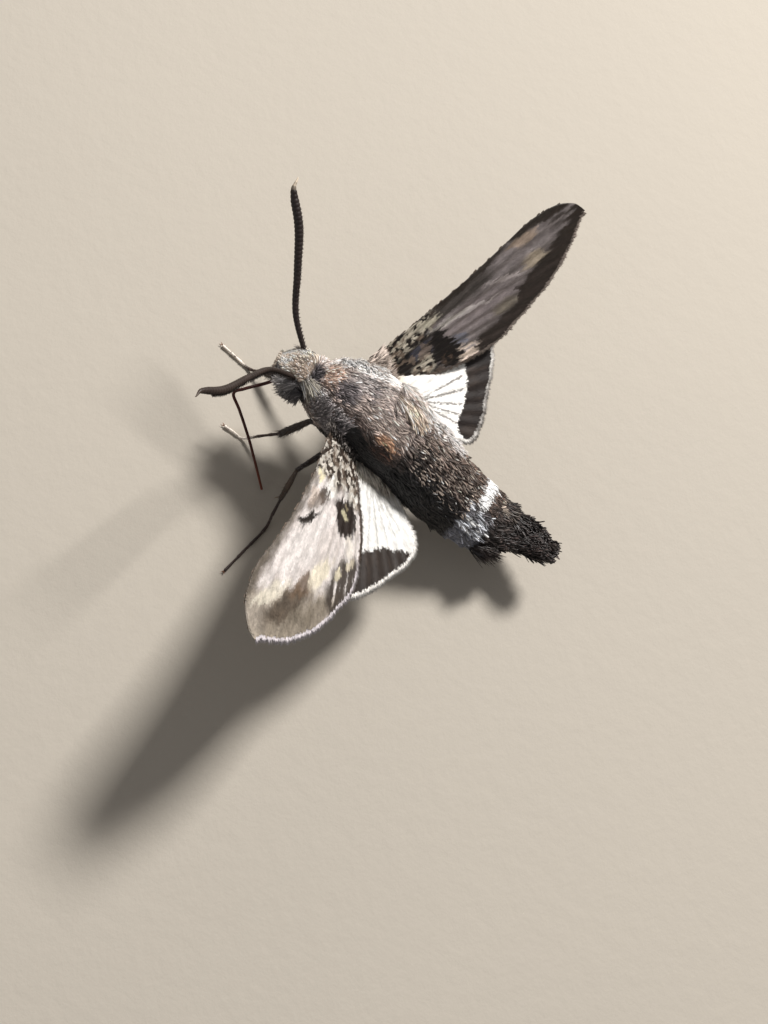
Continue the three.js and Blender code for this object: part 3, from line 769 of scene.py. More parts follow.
RIGHT_MARKS = [
    ((8.0, 2.9), (2.9, 1.2), 8, 0.7, (134, 124, 124)), ((7.0, 0.75), (2.6, 0.85), 2, 0.85, (56, 51, 46)),
    ((10.6, 2.0), (1.6, 0.16), 22, 0.7, (192, 182, 180)),
    ((7.4, 2.35), (2.2, 0.14), 13, 0.75, (196, 188, 186)),
    ((12.3, 0.2), (1.1, 0.4), 6, 0.8, (176, 156, 138)), ((12.8, 2.2), (0.95, 0.5), 16, 0.9, (182, 168, 148)),
    ((9.6, 3.9), (1.1, 0.5), 10, 0.8, (122, 114, 100)), ((5.7, 3.8), (0.4, 0.75), -30, 0.7, (98, 102, 116))]
RIGHT_SPOTS = [
    ((4.0, 0.75), (1.0, 0.32), 4, 0.9, (186, 180, 162)), ((2.4, 0.6), (0.8, 0.25), 8, 0.6, (150, 142, 130)),
    ((5.5, 1.85), (1.5, 0.2), 12, 0.85, (192, 186, 180)), ((1.6, 1.9), (0.6, 0.6), 0, 1.0, (20, 17, 17)),
    ((3.1, 2.45), (1.0, 0.5), 18, 0.9, (68, 68, 78))]
# The left set is painted lighter, partly as painted light, and the right set darker, partly as painted shade,
# over one grey-brown wing.
FOREWING_COLOURS = {
    "left": {"ground": (228, 220, 216), "dull": (196, 184, 178), "light": (246, 240, 238), "shade": 0.7,
             "base": (62, 52, 45), "fleck": (216, 209, 198), "square": (50, 42, 38)},
    "right": {"ground": (134, 126, 125), "dull": (112, 104, 102), "light": (168, 160, 158), "shade": 0.9,
              "base": (34, 29, 27), "fleck": (190, 182, 166), "square": (28, 24, 23)}}


def lay(tint, p, q, marks):
    """Lays a list of oval marks over the tints, in order."""
    for middle, reach, turn, strength, colour in marks:
        dab(tint, oval(p, q, middle, reach, turn, 0.7) * strength, colour)


def from_pole(wing, p, q):
    """Angle and distance of a place from the pole that the wing's veins fan out from."""
    dp, dq = p - wing["pole"][0], q - wing["pole"][1]
    return np.arctan2(dq, dp), np.hypot(dq, dp)


def left_middle(tint, p, q, wp, wq, streak):
    """The left forewing beyond its base: pale, partly painted light, with brown at the tip, the front and the
    rear corner.
    """
    dab(tint, ramp(wp + 0.95 * wq, 13.6, 15.0) * 0.8, (152, 140, 123))
    lay(tint, wp, wq, LEFT_GROUND)
    rear_corner = oval(wp, wq, (8.8, 5.2), (2.5, 0.95), -5)
    dab(tint, rear_corner * ramp(streak, 0.0, 0.3) * 0.95, (66, 57, 50))
    lay(tint, wp, wq, LEFT_MARKS)
    front_strip = (1 - ramp(wq + 0.05 * p, 0.25, 1.05)) * ramp(p, 2.5, 4)
    dab(tint, front_strip * 0.9, (98, 88, 75))
    dab(tint, ramp(p + 0.9 * q, 16.4, 18.2) * 0.5, (178, 166, 150))


def right_middle(tint, p, wp, wq, streak, fine):
    """The right forewing beyond its base: grey and pale streaks between black-brown borders, darkened partly
    as painted shade.
    """
    lay(tint, wp, wq, RIGHT_MARKS)
    front_border = 1 - ramp(wq - np.interp(p, (9, 11, 17), (0.2, -0.5, 0.1)), 0.1, 0.45)
    dab(tint, front_border * 0.95, (52, 45, 40))
    rear_line = np.interp(wp, (5.5, 7, 9, 10.4, 11, 12.3, 14.3, 16.5, 17.4),
                          (5.6, 4.6, 4.4, 4.2, 3.2, 2.8, 2.0, 0.5, 0))
    dab(tint, ramp(wq - rear_line, -0.2, 0.3) * 0.95, (46, 38, 33))
    dab(tint, ramp(p, 13.0, 15.5) * ramp(streak, 0.25, 0.6) * 0.8, (54, 46, 41))
    rear_corner = oval(wp, wq, (5.9, 5.2), (1.4, 0.6), 40)
    dab(tint, rear_corner * ramp(streak + 0.3 * fine, 0.2, 0.5), (240, 222, 206))


def forewing_tint(p, q, side):
    """The upper forewing: a flecked dark base, a dark square near the body, and a middle for each side,
    lighter on the left as painted light and darker on the right as painted shade.

    wp and wq are p and q made ragged, so that the marks have torn edges.
    """
    fan, out = from_pole(FOREWING, p, q)
    streak = mottle(out * 0.9, fan * 85, 31)
    speck = mottle(out * 4.6, fan * 40, 32)
    cloud = mottle(p * 0.8, q * 1.1, 33)
    fine = mottle(out * 2.2, fan * 150, 34)
    wp = p + 0.9 * (streak - 0.5)
    wq = q + 0.3 * (mottle(p * 1.4, q * 2.2, 35) - 0.5) + 0.12 * (fine - 0.5)
    left = side == "left"
    colours = FOREWING_COLOURS[side]
    tint = np.tile(paint(*colours["ground"]), (len(p), 1))
    dab(tint, ramp(streak, 0.45, 0.9) * 0.5, colours["dull"])
    dab(tint, ramp(1 - streak, 0.6, 0.95) * 0.4, colours["light"])
    if left:
        left_middle(tint, p, q, wp, wq, streak)
        base = 1 - ramp(p + 0.2 * q + 1.4 * (cloud - 0.5), 3.0, 4.0)
    else:
        right_middle(tint, p, wp, wq, streak, fine)
        base = 1 - ramp(p + 0.1 * q, 3.6, 5.2)
    dab(tint, base, colours["base"])
    lay(tint, wp, wq, LEFT_SPOTS if left else RIGHT_SPOTS)
    flecks = base * ramp(speck + 0.2 * fine, 0.56, 0.7)
    if not left:
        rear_flecks = oval(p, q, (2.7, 3.5), (0.9, 0.8), 20) * ramp(speck, 0.4, 0.55)
        flecks = flecks * (1 - ramp(q, 1.2, 1.9)) + rear_flecks
    dab(tint, flecks * 0.95, colours["fleck"])
    dab(tint, base * ramp(mottle(out * 3.2, fan * 27, 36), 0.6, 0.75) * 0.6, (132, 116, 102))
    if left:
        dab(tint, oval(wp, wq, (4.35, 3.5), (1.15, 0.85), 28, 0.3, 4), colours["square"])
        dab(tint, oval(p, q, (4.25, 3.4), (0.38, 0.26), 75), (196, 188, 158))
        dab(tint, oval(p, q, (3.6, 3.3), (0.22, 0.16), 60) * 0.8, (150, 138, 112))
    else:
        dab(tint, oval(wp, wq, (4.5, 3.5), (0.75, 1.9), -12, 0.3, 3), colours["square"])
        dab(tint, oval(p, q, (4.4, 4.3), (0.45, 0.5)) * ramp(speck, 0.4, 0.7) * 0.6, (92, 76, 64))
        rear_root = ramp(wq - p * 0.42 - 3.1, -0.1, 0.15) * (1 - ramp(p, 3.4, 4.4))
        dab(tint, rear_root * 0.9, colours["square"])
    return tint * colours["shade"] * (0.8 + 0.4 * fine)[:, None]


def hindwing_tint(p, q, side):
    """The upper hindwing: white, with a broad black-brown band along the outer edge."""
    line = ((0, 1.5, 2.1, 3.3, 5.1, 9), (7.2, 6.6, 5.9, 4.95, 4.1, 3.8))
    if side == "right":
        line = ((0, 2.0, 3.0, 3.8, 4.2, 9), (7.2, 6.1, 5.3, 4.0, 2.9, 1.5))
    fan, out = from_pole(HINDWING, p, q)
    fine = mottle(out * 2.2, fan * 70, 42)
    streak = mottle(out * 0.8, fan * 36, 45)
    tooth = 0.3 * (streak - 0.5) + 0.3 * (fine - 0.5)
    tint = np.tile(paint(250, 249, 246), (len(p), 1))
    dab(tint, (1 - ramp(p, 0.3, 1.8)) * 0.6, (222, 206, 172))
    dab(tint, ramp(streak, 0.5, 0.9) * 0.5, (216, 212, 206))
    for vein in ((5.4, 2.1), (4.9, 2.8), (4.2, 3.5), (3.6, 4.0), (2.9, 4.2), (1.8, 4.4)):
        dab(tint, fleck(p, q, (0.9, 1.5), vein, 0.11) * (0.75 if side == "right" else 0.3), (88, 80, 74))
    band = ramp(p - np.interp(q, *line) + tooth, -0.1, 0.1)
    if side == "left":
        band = band * (1 - ramp(q - 5.45 + tooth, -0.1, 0.15))
    dab(tint, band, (54, 47, 43) if side == "left" else (38, 32, 30))
    dab(tint, band * ramp(streak, 0.6, 0.9) * 0.25, (84, 72, 64))
    return tint * (0.76 if side == "left" else 0.85) * (0.9 + 0.2 * fine)[:, None]


def under_tint(p, q, side):
    """The underside of both wings: dull cream grey, darker to the edge."""
    tint = np.tile(paint(178, 168, 152), (len(p), 1))
    dab(tint, ramp(mottle(p * 1.2, q * 8, 51), 0.45, 0.8) * 0.5, (122, 110, 98))
    dab(tint, ramp(p + 1.2 * q, 13.5, 15.5) * 0.7, (96, 84, 74))
    dab(tint, 1 - ramp(q, 0.2, 0.6), (104, 92, 82))
    return tint


FILM = finish("wing film", None, 0.6, 0.1, 1200, 0.2, 0.00001, 12000)
SCALE = finish("wing scale", None, 0.5, 0.1, 1800, 0.12, 0.000004, 26000, specular=0.18)
FRINGE = 0.3


def wing_film(name, wing, side, tint, node):
    """The film of one wing: a grid shaped between its edges, pleated, and given a thickness."""
    bpy.ops.object.select_all(action="DESELECT")
    bpy.ops.mesh.primitive_grid_add(x_subdivisions=150, y_subdivisions=50, size=2)
    film = bpy.context.object
    film.name = name
    flat = np.array([v.co for v in film.data.vertices], float)
    u, v = np.sin((flat[:, 0] + 1) / 2 * pi / 2), (flat[:, 1] + 1) / 2
    if side == "left":
        v = 1 - v
    front, rear = edge(wing["leading"], u), trailing_edge(wing, u, FRINGE)
    spot = front + (rear - front) * v[:, None]
    p, q = spot[:, 0], spot[:, 1]
    film.data.vertices.foreach_set("co", wing_point(wing, side, p, q, 0 * p).ravel())
    set_tint(film.data, tint(p, q, side) * 0.8)
    thick = film.modifiers.new("thickness", "SOLIDIFY")
    thick.thickness = 0.05 * MM
    thick.offset = 0
    bpy.ops.object.modifier_apply(modifier="thickness")
    bpy.ops.object.shade_smooth()
    film.data.materials.append(FILM)
    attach(film, "root")
    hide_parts(node)


def inside(wing, p, q, margin):
    """Which places lie inside the wing's outline, with a margin."""
    u = np.linspace(0, 1, 120)
    front = edge(wing["leading"], u) + (0, margin / 2)
    rim = np.concatenate([front, trailing_edge(wing, u[::-1], FRINGE + margin)])
    hit = np.zeros(len(p), bool)
    for (p0, q0), (p1, q1) in zip(rim, np.roll(rim, -1, 0)):
        if q0 != q1:
            cross = p0 + (q - q0) / (q1 - q0) * (p1 - p0)
            hit ^= ((q0 > q) != (q1 > q)) & (p < cross)
    return hit


def shingles(name, wing, side, face, pitch, length, width, tint, seed):
    """One side of a wing, shingled: five-cornered scales with a low crown, tips towards the edge."""
    rng = np.random.default_rng(seed)
    low, high = np.array((-0.9, -1.0)), np.array((17.6, 6.4))
    columns = np.arange(low[0], high[0], pitch[0])
    rows = np.arange(low[1], high[1], pitch[1])
    p, q = np.meshgrid(columns, rows, indexing="ij")
    q = q + pitch[1] / 2 * (np.arange(len(columns)) % 2)[:, None]
    p = (p + rng.uniform(-0.4, 0.4, p.shape) * pitch[0]).ravel()
    q = (q + rng.uniform(-0.35, 0.35, q.shape) * pitch[1]).ravel()
    way = from_pole(wing, p, q)[0] + rng.normal(0, 0.09, len(p))
    ahead = np.stack([np.cos(way), np.sin(way)], -1)
    keep = inside(wing, p, q, 0.05) & (p > -0.4)
    keep &= inside(wing, p + ahead[:, 0] * length, q + ahead[:, 1] * length, -0.03)
    p, q, way, ahead = p[keep], q[keep], way[keep], ahead[keep]
    n = len(p)
    across = np.stack([-np.sin(way), np.cos(way)], -1)
    long = length * rng.uniform(0.8, 1.2, n)
    wide = width * rng.uniform(0.85, 1.15, n)
    rise = np.radians(rng.uniform(3, 6.5, n))
    form = ((0, 0, 0), (0.5, -0.5, 0), (0.96, -0.38, 0), (1.0, 0.36, 0), (0.5, 0.5, 0), (0.55, 0, 0.05))
    up = 1 if face == "upper" else -1
    corners = []
    for t, s, crown in form:
        spot = np.stack([p, q], -1) + ahead * (long * t)[:, None] + across * (wide * s)[:, None]
        height = 0.03 + long * t * np.sin(rise) + wide * crown
        corners.append(wing_point(wing, side, spot[:, 0], spot[:, 1], up * height))
    points = np.stack(corners, 1).reshape(-1, 3)
    pattern = [(5, i, (i + 1) % 5) for i in range(5)] + [(0, 2, 1), (0, 3, 2), (0, 4, 3)]
    if (side == "left") != (face == "upper"):
        pattern = [(a, c, b) for a, b, c in pattern]
    triangles = (np.arange(n)[:, None, None] * 6 + np.array(pattern)[None]).reshape(-1, 3)
    own = tint(p, q, side) * rng.uniform(0.93, 1.07, n)[:, None]
    colours = np.repeat(own[:, None], 6, 1) * np.array([0.88, 0.97, 1.03, 1.03, 0.97, 1.0])[None, :, None]
    at = np.stack([(p + 1) / 19, (q + 1.2) / 9], -1)
    offset = np.array([(t * 0.003, (s + 0.5) * 0.003) for t, s, crown in form])
    spots = (at[:, None] + offset[None]).reshape(-1, 2)
    piece = joined(name, points, triangles, np.clip(colours, 0, 0.92).reshape(-1, 3), spots)
    piece.data.polygons.foreach_set("use_smooth", np.zeros(len(triangles), bool))
    piece.data.materials.append(SCALE)
    return piece


def wing_fringe(name, wing, side, span, count, length, tint, seed):
    """Hair scales along the rear edge, in a few loose rows."""
    rng = np.random.default_rng(seed)
    u = np.sort(rng.uniform(span[0], span[1], count))
    line = trailing_edge(wing, u, FRINGE)
    along = unit(trailing_edge(wing, u + 0.005, FRINGE) - trailing_edge(wing, u - 0.005, FRINGE))
    outward = np.stack([-along[:, 1], along[:, 0]], -1)
    fan = unit(line - np.array(wing["pole"]))
    aim = unit(outward * 0.9 + fan * 0.45 + rng.normal(0, 0.12, (count, 2)))
    start = line - aim * rng.uniform(0.02, 0.12, count)[:, None]
    long = length * (0.85 + 0.25 * np.sin(u * 140) ** 2) * rng.uniform(0.8, 1.2, count)
    return wing_hair(name, wing, side, start, aim, rng.uniform(-0.03, 0.045, count), 0, long, 0.075,
                     tint(u, rng, side), rng)


def wing_hair(name, wing, side, start, aim, height, rise, long, wide, tints, rng):
    """Hair lying along a wing from the given places, rising a little from its surface."""
    count = len(start)
    root = wing_point(wing, side, start[:, 0], start[:, 1], height) / MM
    far = start + aim * 0.2
    ahead = unit(wing_point(wing, side, far[:, 0], far[:, 1], height + 0.2 * rise) / MM - root)
    above = unit(wing_point(wing, side, start[:, 0], start[:, 1], height + 0.1) / MM - root)
    up = unit(np.cross(np.cross(ahead, above), ahead))
    at = np.stack([(start[:, 0] + 1) / 19, (start[:, 1] + 1.2) / 9], -1)
    piece = locks(name, lambda points: points * MM, root, ahead, up, long,
                  wide * rng.uniform(0.75, 1.2, count), rng.normal(0.15, 0.15, count),
                  rng.normal(0, 0.2, count), tints, np.clip(at, 0.001, 0.99))
    piece.data.materials.append(HAIR)
    return piece


def wing_root(name, wing, side, count, area, slant, length, colours, seed):
    """Hair that spreads from the body over a wing's root, in a mix of two colours."""
    rng = np.random.default_rng(seed)
    start = np.stack([rng.uniform(area[0], area[1], count), rng.uniform(area[2], area[3], count)], -1)
    aim = unit(np.stack([np.ones(count), slant + rng.normal(0, 0.16, count)], -1))
    pick = (mottle(start[:, 0] * 2, start[:, 1] * 3, seed) > 0.5)[:, None]
    tip = np.where(pick, paint(*colours[0]), paint(*colours[1])) * rng.uniform(0.6, 1.3, count)[:, None]
    return wing_hair(name, wing, side, start, aim, rng.uniform(0.02, 0.3, count), 0.12,
                     length * rng.uniform(0.7, 1.2, count), 0.1, (tip * 0.4, np.clip(tip, 0, 0.9)), rng)


def forewing_fringe_tint(u, rng, side):
    n = len(u)
    # The right fringe is painted darker than the left, partly as painted shade.
    tip = np.tile(paint(*((216, 209, 212) if side == "left" else (128, 116, 108))), (n, 1))
    dab(tip, 1 - ramp(u, 0.36, 0.46), (96, 82, 72))
    tip *= rng.uniform(0.85, 1.1, n)[:, None]
    return tip * 0.8, tip


def hindwing_fringe_tint(u, rng, side):
    n = len(u)
    tip = np.tile(paint(238, 235, 230), (n, 1))
    notch = ramp(np.sin(u * 140) ** 2, 0.75, 0.95) * ramp(u, 0.4, 0.5)
    dab(tip, notch * 0.35, (120, 110, 104))
    if side == "right":
        middle = ramp(u, 0.3, 0.4) * (1 - ramp(u, 0.72, 0.8))
        dab(tip, middle * (1 - 0.7 * mottle(u * 60, u, 44)), (70, 61, 56))
    return tip * 0.92, tip


for side in ("left", "right"):
    left = side == "left"
    seeds = 0 if left else 50
    wing_kinds = (("forewing", FOREWING, forewing_tint), ("hindwing", HINDWING, hindwing_tint))
    for kind, wing, tint in wing_kinds:
        wing_film(f"{kind}_film_{side}", wing, side, tint, f"{kind}_{side}")
    for kind, wing, tint in wing_kinds:
        upper = shingles(f"scales_{kind}_upper_{side}", wing, side, "upper", (0.115, 0.08), 0.33, 0.115,
                         tint, 61 + seeds)
        under = shingles(f"scales_{kind}_under_{side}", wing, side, "under", (0.2, 0.15), 0.4, 0.21,
                         under_tint, 62 + seeds)
    wing_fringe(f"fringe_forewing_{side}", FOREWING, side, (0.1, 0.99), 3200, 0.42,
                forewing_fringe_tint, 63 + seeds)
    # The left forewing root's hair is painted darker than the right's, partly as painted shade.
    if left:
        wing_root("root_forewing_left", FOREWING, side, 420, (-0.9, 0.0, -0.5, 2.4), 0.1, 0.45,
                  ((136, 128, 122), (64, 56, 52)), 65)
    else:
        wing_root("root_forewing_right", FOREWING, side, 900, (-0.9, 0.5, -0.2, 2.8), 0.1, 0.7,
                  ((214, 198, 186), (150, 136, 126)), 66)
    wing_root(f"root_hindwing_{side}", HINDWING, side, 500, (-0.6, 0.8, 0.2, 2.6), 0.5, 0.9,
              ((226, 218, 206), (170, 158, 146)), 67 + seeds)
    wing_fringe(f"fringe_hindwing_{side}", HINDWING, side, (0.05, 0.98), 2700, 0.44,
                hindwing_fringe_tint, 64 + seeds)


# The feelers are stiff ringed rods that thicken to a club and end in a pale hook, with a comb of
# fine bristles along the inner edge.
def route(points, count):
    """Evenly spaced points on a smooth line through the given ones."""
    fine = edge(points, np.linspace(0, 1, 800))
    far = np.concatenate([[0], np.cumsum(np.linalg.norm(np.diff(fine, axis=0), axis=1))])
    even_at = np.linspace(0, far[-1], count)
    return np.stack([np.interp(even_at, far, fine[:, i]) for i in range(3)], 1)


def along_route(path):
    """The direction along a path and two directions square to it, carried along without twist."""
    ahead = unit(np.gradient(path, axis=0))
    above = np.array([0, 0, 1.0]) if abs(ahead[0, 2]) < 0.9 else np.array([1.0, 0, 0])
    ups = []
    for direction in ahead:
        above = above - direction * (above @ direction)
        above = above / np.linalg.norm(above)
        ups.append(above)
    ups = np.array(ups)
    return ahead, ups, np.cross(ahead, ups)


def rod(name, path, radius, roundness=3):
    """A closed round rod along a path in ground mm, its radius given at each point."""
    bpy.ops.object.select_all(action="DESELECT")
    line = bpy.data.curves.new(name, "CURVE")
    line.dimensions = "3D"
    line.bevel_depth = MM
    line.bevel_resolution = roundness
    line.use_fill_caps = True
    spline = line.splines.new("POLY")
    spline.points.add(len(path) - 1)
    spline.points.foreach_set("co", np.concatenate([ground(path), np.ones((len(path), 1))], 1).ravel())
    spline.points.foreach_set("radius", np.asarray(radius, float))
    piece = bpy.data.objects.new(name, line)
    bpy.context.scene.collection.objects.link(piece)
    piece.select_set(True)
    bpy.context.view_layer.objects.active = piece
    bpy.ops.object.convert(target="MESH")
    piece = bpy.context.object
    face_outwards(merge=0.000002)
    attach(piece, "root")
    return piece


def rod_tint(piece, path, colours):
    """Tints a rod by the nearest point of its path."""
    at = ground(path)
    points = np.array([v.co for v in piece.data.vertices], float)
    nearest = np.argmin(((points[:, None] - at[None, ::4]) ** 2).sum(-1), axis=1) * 4
    set_tint(piece.data, colours[nearest])


def bristles(path, radius, count, length, width, rise, root, tip, rng, arc=(0, 360), reach=(0, 1)):
    """Hairs or spines growing from a rod, as the arrays that locks takes, for one later mesh."""
    ahead, above, beside = along_route(path)
    s = rng.uniform(reach[0], reach[1], count)
    k = np.minimum((s * (len(path) - 1)).astype(int), len(path) - 1)
    angle = np.radians(rng.uniform(arc[0], arc[1], count))
    out = np.cos(angle)[:, None] * above[k] + np.sin(angle)[:, None] * beside[k]
    radius = np.asarray(radius, float)[k]
    lean = np.radians(rise + rng.normal(0, 6, count))
    aim = np.cos(lean)[:, None] * ahead[k] + np.sin(lean)[:, None] * out
    up = unit(np.cross(np.cross(aim, out), aim))
    tone = rng.uniform(0.7, 1.25, count)[:, None]
    return [path[k] + out * (radius * 0.8)[:, None], aim, up, length * rng.uniform(0.75, 1.25, count),
            width * rng.uniform(0.8, 1.2, count), rng.normal(0.15, 0.15, count),
            rng.normal(0, 0.15, count), paint(*root) * tone, paint(*tip) * tone,
            np.stack([angle / (2 * pi) * 0.95 + 0.01, s * 0.9], -1)]


def grown(name, sets, slot, steps=(0, 0.45, 1)):
    """One mesh of all the hairs or spines gathered in the sets."""
    parts = [np.concatenate(part) for part in zip(*sets)]
    piece = locks(name, ground, *parts[:7], parts[7:9], parts[9], steps)
    piece.data.materials.append(HAIR)


HORN = finish("dark horn", None, 0.46, 0.1, 1400, 0.22, 0.000006, 16000, specular=0.28)
ANTENNAE = {
    "left": [(0.68, -4.5, 7.15), (2.05, -6.46, 9.06), (3.99, -7.33, 10.57), (6.25, -8.12, 12.18),
             (7.6, -9.05, 13.45), (8.18, -9.46, 13.99)],
    "right": [(-0.5, -4.72, 7.15), (-2.01, -6.89, 8.82), (-3.85, -8.18, 10.32), (-5.67, -9.46, 11.81),
              (-6.8, -10.65, 12.77), (-7.49, -11.28, 13.34)]}
FEELER_POINTS = 241
FEELER_RINGS = 44
FEELER_LOOKS = {
    "left": {"wide": 0.86, "hook": (0.2, 0.2, -0.12), "tip": (84, 70, 60), "comb": 235, "seed": 71},
    "right": {"wide": 1, "hook": (-0.35, 0.2, -0.12), "tip": (206, 190, 168), "comb": 125, "seed": 72}}
cilia = []
for side, points in ANTENNAE.items():
    look = FEELER_LOOKS[side]
    s = np.linspace(0, 1, FEELER_POINTS)
    club = np.interp(s, (0, 0.03, 0.1, 0.5, 0.75, 0.88, 0.94, 0.97, 1),
                     (0.2, 0.23, 0.16, 0.24, 0.29, 0.28, 0.2, 0.1, 0.03)) * look["wide"]
    rings = 1 - 0.1 * np.abs(np.sin(s * pi * FEELER_RINGS)) ** 6
    hook = ramp(s, 0.93, 1.0)
    path = route(points, FEELER_POINTS) + np.outer(hook ** 2, look["hook"])
    feeler = rod(f"feeler_{side}", path, club * rings)
    colours = np.tile(paint(36, 28, 26), (FEELER_POINTS, 1))
    dab(colours, hook, look["tip"])
    if side == "left":
        dab(colours, np.full(FEELER_POINTS, 0.3), (60, 48, 40))
    rod_tint(feeler, path, colours)
    feeler.data.materials.append(HORN)
    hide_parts(f"antenna_{side}")
    rng = np.random.default_rng(look["seed"])
    inner_edge = (look["comb"] - 28, look["comb"] + 28)
    for tooth in np.arange(0.05, 0.83, 0.0205):
        cilia.append(bristles(path, club, 26, 0.21, 0.05, 62, (30, 22, 20), (58, 44, 38), rng, inner_edge,
                              (tooth, tooth + 0.006)))
    cilia.append(bristles(path, club, 1600, 0.12, 0.035, 12, (32, 26, 24), (66, 58, 52), rng,
                          reach=(0.01, 0.84)))
grown("feeler_bristles", cilia, "antenna")


# The tongue is a fine double tube, ringed all along, that leaves the mouth between the palps and
# bends down to the floor. The palps are short upturned feelers thick with hair, dark on the left as painted
# shade.
TONGUE = [(0.1, -5.1, 5.8), (0.35, -5.75, 5.15), (0.95, -6.5, 4.5), (1.85, -7.35, 4.35), (2.3, -7.8, 3.85),
          (2.75, -6.93, 3.1), (3.62, -5.5, 2.0), (4.62, -4.15, 1.0), (5.42, -3.15, 0.3)]
TONGUE_POINTS = 561
TONGUE_RINGS = 92
path = route(TONGUE, TONGUE_POINTS)
s = np.linspace(0, 1, TONGUE_POINTS)
ringed = 0.115 * (1 - 0.3 * s) * (1 + 0.035 * np.sin(s * 2 * pi * TONGUE_RINGS))
tongue = rod("tongue", path, ringed)
colours = np.tile(paint(62, 28, 22), (TONGUE_POINTS, 1))
dab(colours, ramp(s, 0.7, 1.0), (104, 52, 34))
rod_tint(tongue, path, colours)
tongue.data.materials.append(HORN)
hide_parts("proboscis_upper", "proboscis_lower")
PALP = [(0.5, -4.8, 5.7), (0.52, -5.5, 5.48), (0.52, -6.0, 5.52), (0.48, -6.28, 5.8), (0.4, -6.36, 6.15)]
PALP_POINTS = 61
# Painted shade: the left palp's core and hair are dark, the right palp's pale.
PALP_LOOKS = {
    "left": {"mirror": 1, "hair": 0.36, "core": (40, 34, 34), "root": (24, 22, 23), "tip": (54, 52, 55)},
    "right": {"mirror": -1, "hair": 0.26, "core": (110, 96, 88), "root": (96, 84, 76),
              "tip": (198, 178, 164)}}
palp_hair = []
for side, look in PALP_LOOKS.items():
    path = route(np.array(PALP) * (look["mirror"], 1, 1), PALP_POINTS)
    palp = rod(f"palp_{side}_core", path, np.linspace(0.38, 0.18, PALP_POINTS))
    set_tint(palp.data, np.tile(paint(*look["core"]), (len(palp.data.vertices), 1)))
    palp.data.materials.append(HORN)
    rng = np.random.default_rng(80 + look["mirror"])
    palp_hair.append(bristles(path, np.linspace(0.36, 0.12, PALP_POINTS), 1100, look["hair"], 0.07, 18,
                              look["root"], look["tip"], rng))
grown("coat_palps", palp_hair, "head_coat")


# Six legs stand on the floor: a hairy thigh, a shin with a comb of spines, and a thin foot of five
# joints with pale ends, each closed by a pair of hooked claws.
LEGS = {
    "fore_left": [(0.8, -0.7, 3.7), (0.7, -2.7, 3.05), (2.12, -3.95, 2.0), (2.95, -5.9, 0.2),
                  (2.86, -7.3, 0.2)],
    "fore_right": [(-0.8, -1.6, 3.8), (-1.3, -4.2, 2.7), (-1.5, -6.7, 0.95), (-1.55, -7.9, 0.2),
                   (-2.02, -10.15, 0.2)],
    "mid_left": [(1.3, -0.4, 3.8), (4.52, -1.94, 3.8), (5.68, -1.83, 1.25), (7.6, -1.7, 0.2),
                 (11.4, -2.56, 0.2)],
    "mid_right": [(-1.3, -0.4, 3.8), (-3.6, -1.0, 3.5), (-4.9, -0.7, 1.1), (-5.6, -0.4, 0.2),
                  (-7.6, 0.6, 0.2)],
    "hind_left": [(1.2, 1.0, 3.8), (3.3, 1.9, 3.5), (4.5, 2.9, 0.95), (4.7, 3.9, 0.2), (5.1, 6.8, 0.2)],
    "hind_right": [(-1.2, 1.0, 3.8), (-3.1, 2.2, 3.4), (-3.7, 3.4, 0.95), (-3.8, 4.4, 0.2), (-3.9, 7.5, 0.2)]}
LEG_POINTS = 41
FOOT_POINTS = 121
FOOT_HEIGHT = 0.13
thigh_hair, shin_hair, spines, claws = [], [], [], []
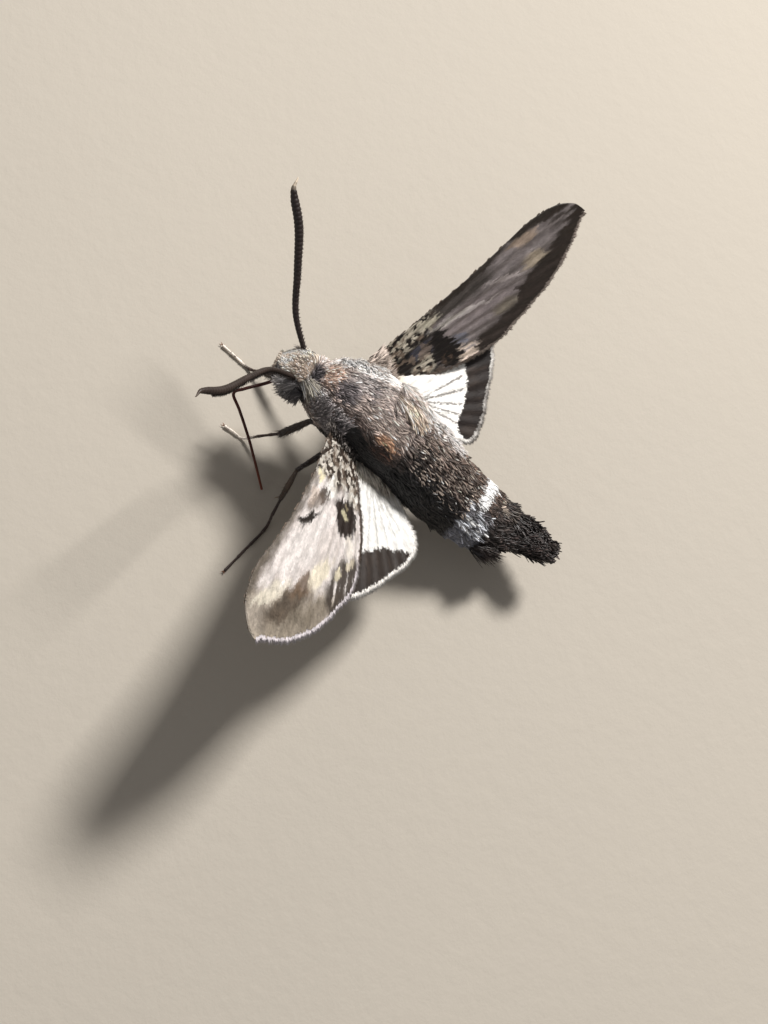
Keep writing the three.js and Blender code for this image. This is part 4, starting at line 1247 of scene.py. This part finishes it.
for number, (name, points) in enumerate(LEGS.items()):
    rng = np.random.default_rng(90 + number)
    fore = name.startswith("fore")
    hip, knee, ankle, foot, toe = np.array(points, float)
    foot[2] = toe[2] = FOOT_HEIGHT
    inside_body = hip * (0.6, 1, 1) + (0, 0.1, 1.1)
    thigh = route([inside_body, hip, (hip + knee) / 2, knee], LEG_POINTS)
    shin = route([knee, (knee + ankle) / 2, ankle], LEG_POINTS)
    tarsus = route([ankle, (ankle + foot) / 2, foot, (foot + toe) / 2, toe], FOOT_POINTS)
    t = np.linspace(0, 1, LEG_POINTS)
    along = np.linspace(0, 1, FOOT_POINTS)
    joint = (along * 5) % 1
    thigh_wide = (0.2 if fore else 0.15) + (0.12 if fore else 0.07) * np.sin(pi * np.clip(t * 1.1, 0, 1))
    shin_wide = (0.16 if fore else 0.11) + 0.06 * np.sin(pi * t) + 0.03 * t
    tarsus_wide = 0.07 + 0.03 * joint ** 2 + 0.02 * (1 - along)
    pieces = [rod(f"thigh_{name}", thigh, thigh_wide), rod(f"shin_{name}", shin, shin_wide),
              rod(f"foot_{name}", tarsus, tarsus_wide)]
    for piece, cad in zip(pieces, ("femur", "tibia", "tarsus")):
        piece.data.materials.append(HORN)
        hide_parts(f"{cad}_{name}")
    rod_tint(pieces[0], thigh, np.tile(paint(66, 58, 56), (LEG_POINTS, 1)))
    rod_tint(pieces[1], shin, np.tile(paint(74, 62, 54), (LEG_POINTS, 1)))
    banded = np.tile(paint(58, 46, 42), (FOOT_POINTS, 1))
    dab(banded, ramp(joint, 0.82, 0.95) * 0.6, (150, 134, 118))
    if fore:
        dab(banded, ramp(along, 0.42, 0.55), (226, 216, 204))
    rod_tint(pieces[2], tarsus, banded)
    count, length = (700, 0.36) if fore else (480, 0.24)
    thigh_hair.append(bristles(thigh, thigh_wide, count, length, 0.06, 14, (34, 31, 31), (104, 100, 98), rng))
    shin_hair.append(bristles(shin, shin_wide, count, length, 0.05, 12, (30, 26, 25), (92, 84, 78), rng))
    shin_hair.append(bristles(tarsus, tarsus_wide, 240, 0.14, 0.03, 9, (60, 50, 44), (140, 126, 110), rng,
                              reach=(0, 0.5)))
    if fore:
        spines.append(bristles(shin, shin_wide, 34, 0.5, 0.075, 40, (26, 20, 18), (52, 40, 34), rng,
                               (150, 260), (0.3, 1)))
    spines.append(bristles(shin, shin_wide, 14, 0.3, 0.05, 42, (40, 28, 22), (90, 62, 44), rng,
                           (-60, 240), (0.35, 1)))
    spines.append(bristles(shin, shin_wide, 2, 0.9, 0.12, 26, (70, 50, 38), (170, 150, 128), rng,
                           (100, 200), (0.9, 1)))
    spines.append(bristles(tarsus, tarsus_wide, 44, 0.16, 0.03, 30, (50, 36, 28), (96, 66, 46), rng,
                           (-80, 80), (0.1, 0.98)))
    ahead, above, beside = along_route(tarsus)
    for way in (-0.55, 0.55):
        aim = unit(ahead[-1] + beside[-1] * way + np.array([0, 0, 0.5]))
        up = unit(np.cross(np.cross(aim, above[-1]), aim))
        claws.append([toe[None], aim[None], up[None], np.array([0.26]), np.array([0.08]),
                      np.array([1.3]), np.array([-0.6 * way]), paint(60, 34, 24)[None],
                      paint(150, 92, 52)[None], np.array([[0.5, 0.95]])])
grown("coat_thighs", thigh_hair, "leg")
grown("coat_shins", shin_hair, "leg")
grown("leg_spines", spines, "leg", (0, 0.3, 0.65, 1))
grown("leg_claws", claws, "leg", (0, 0.3, 0.65, 1))
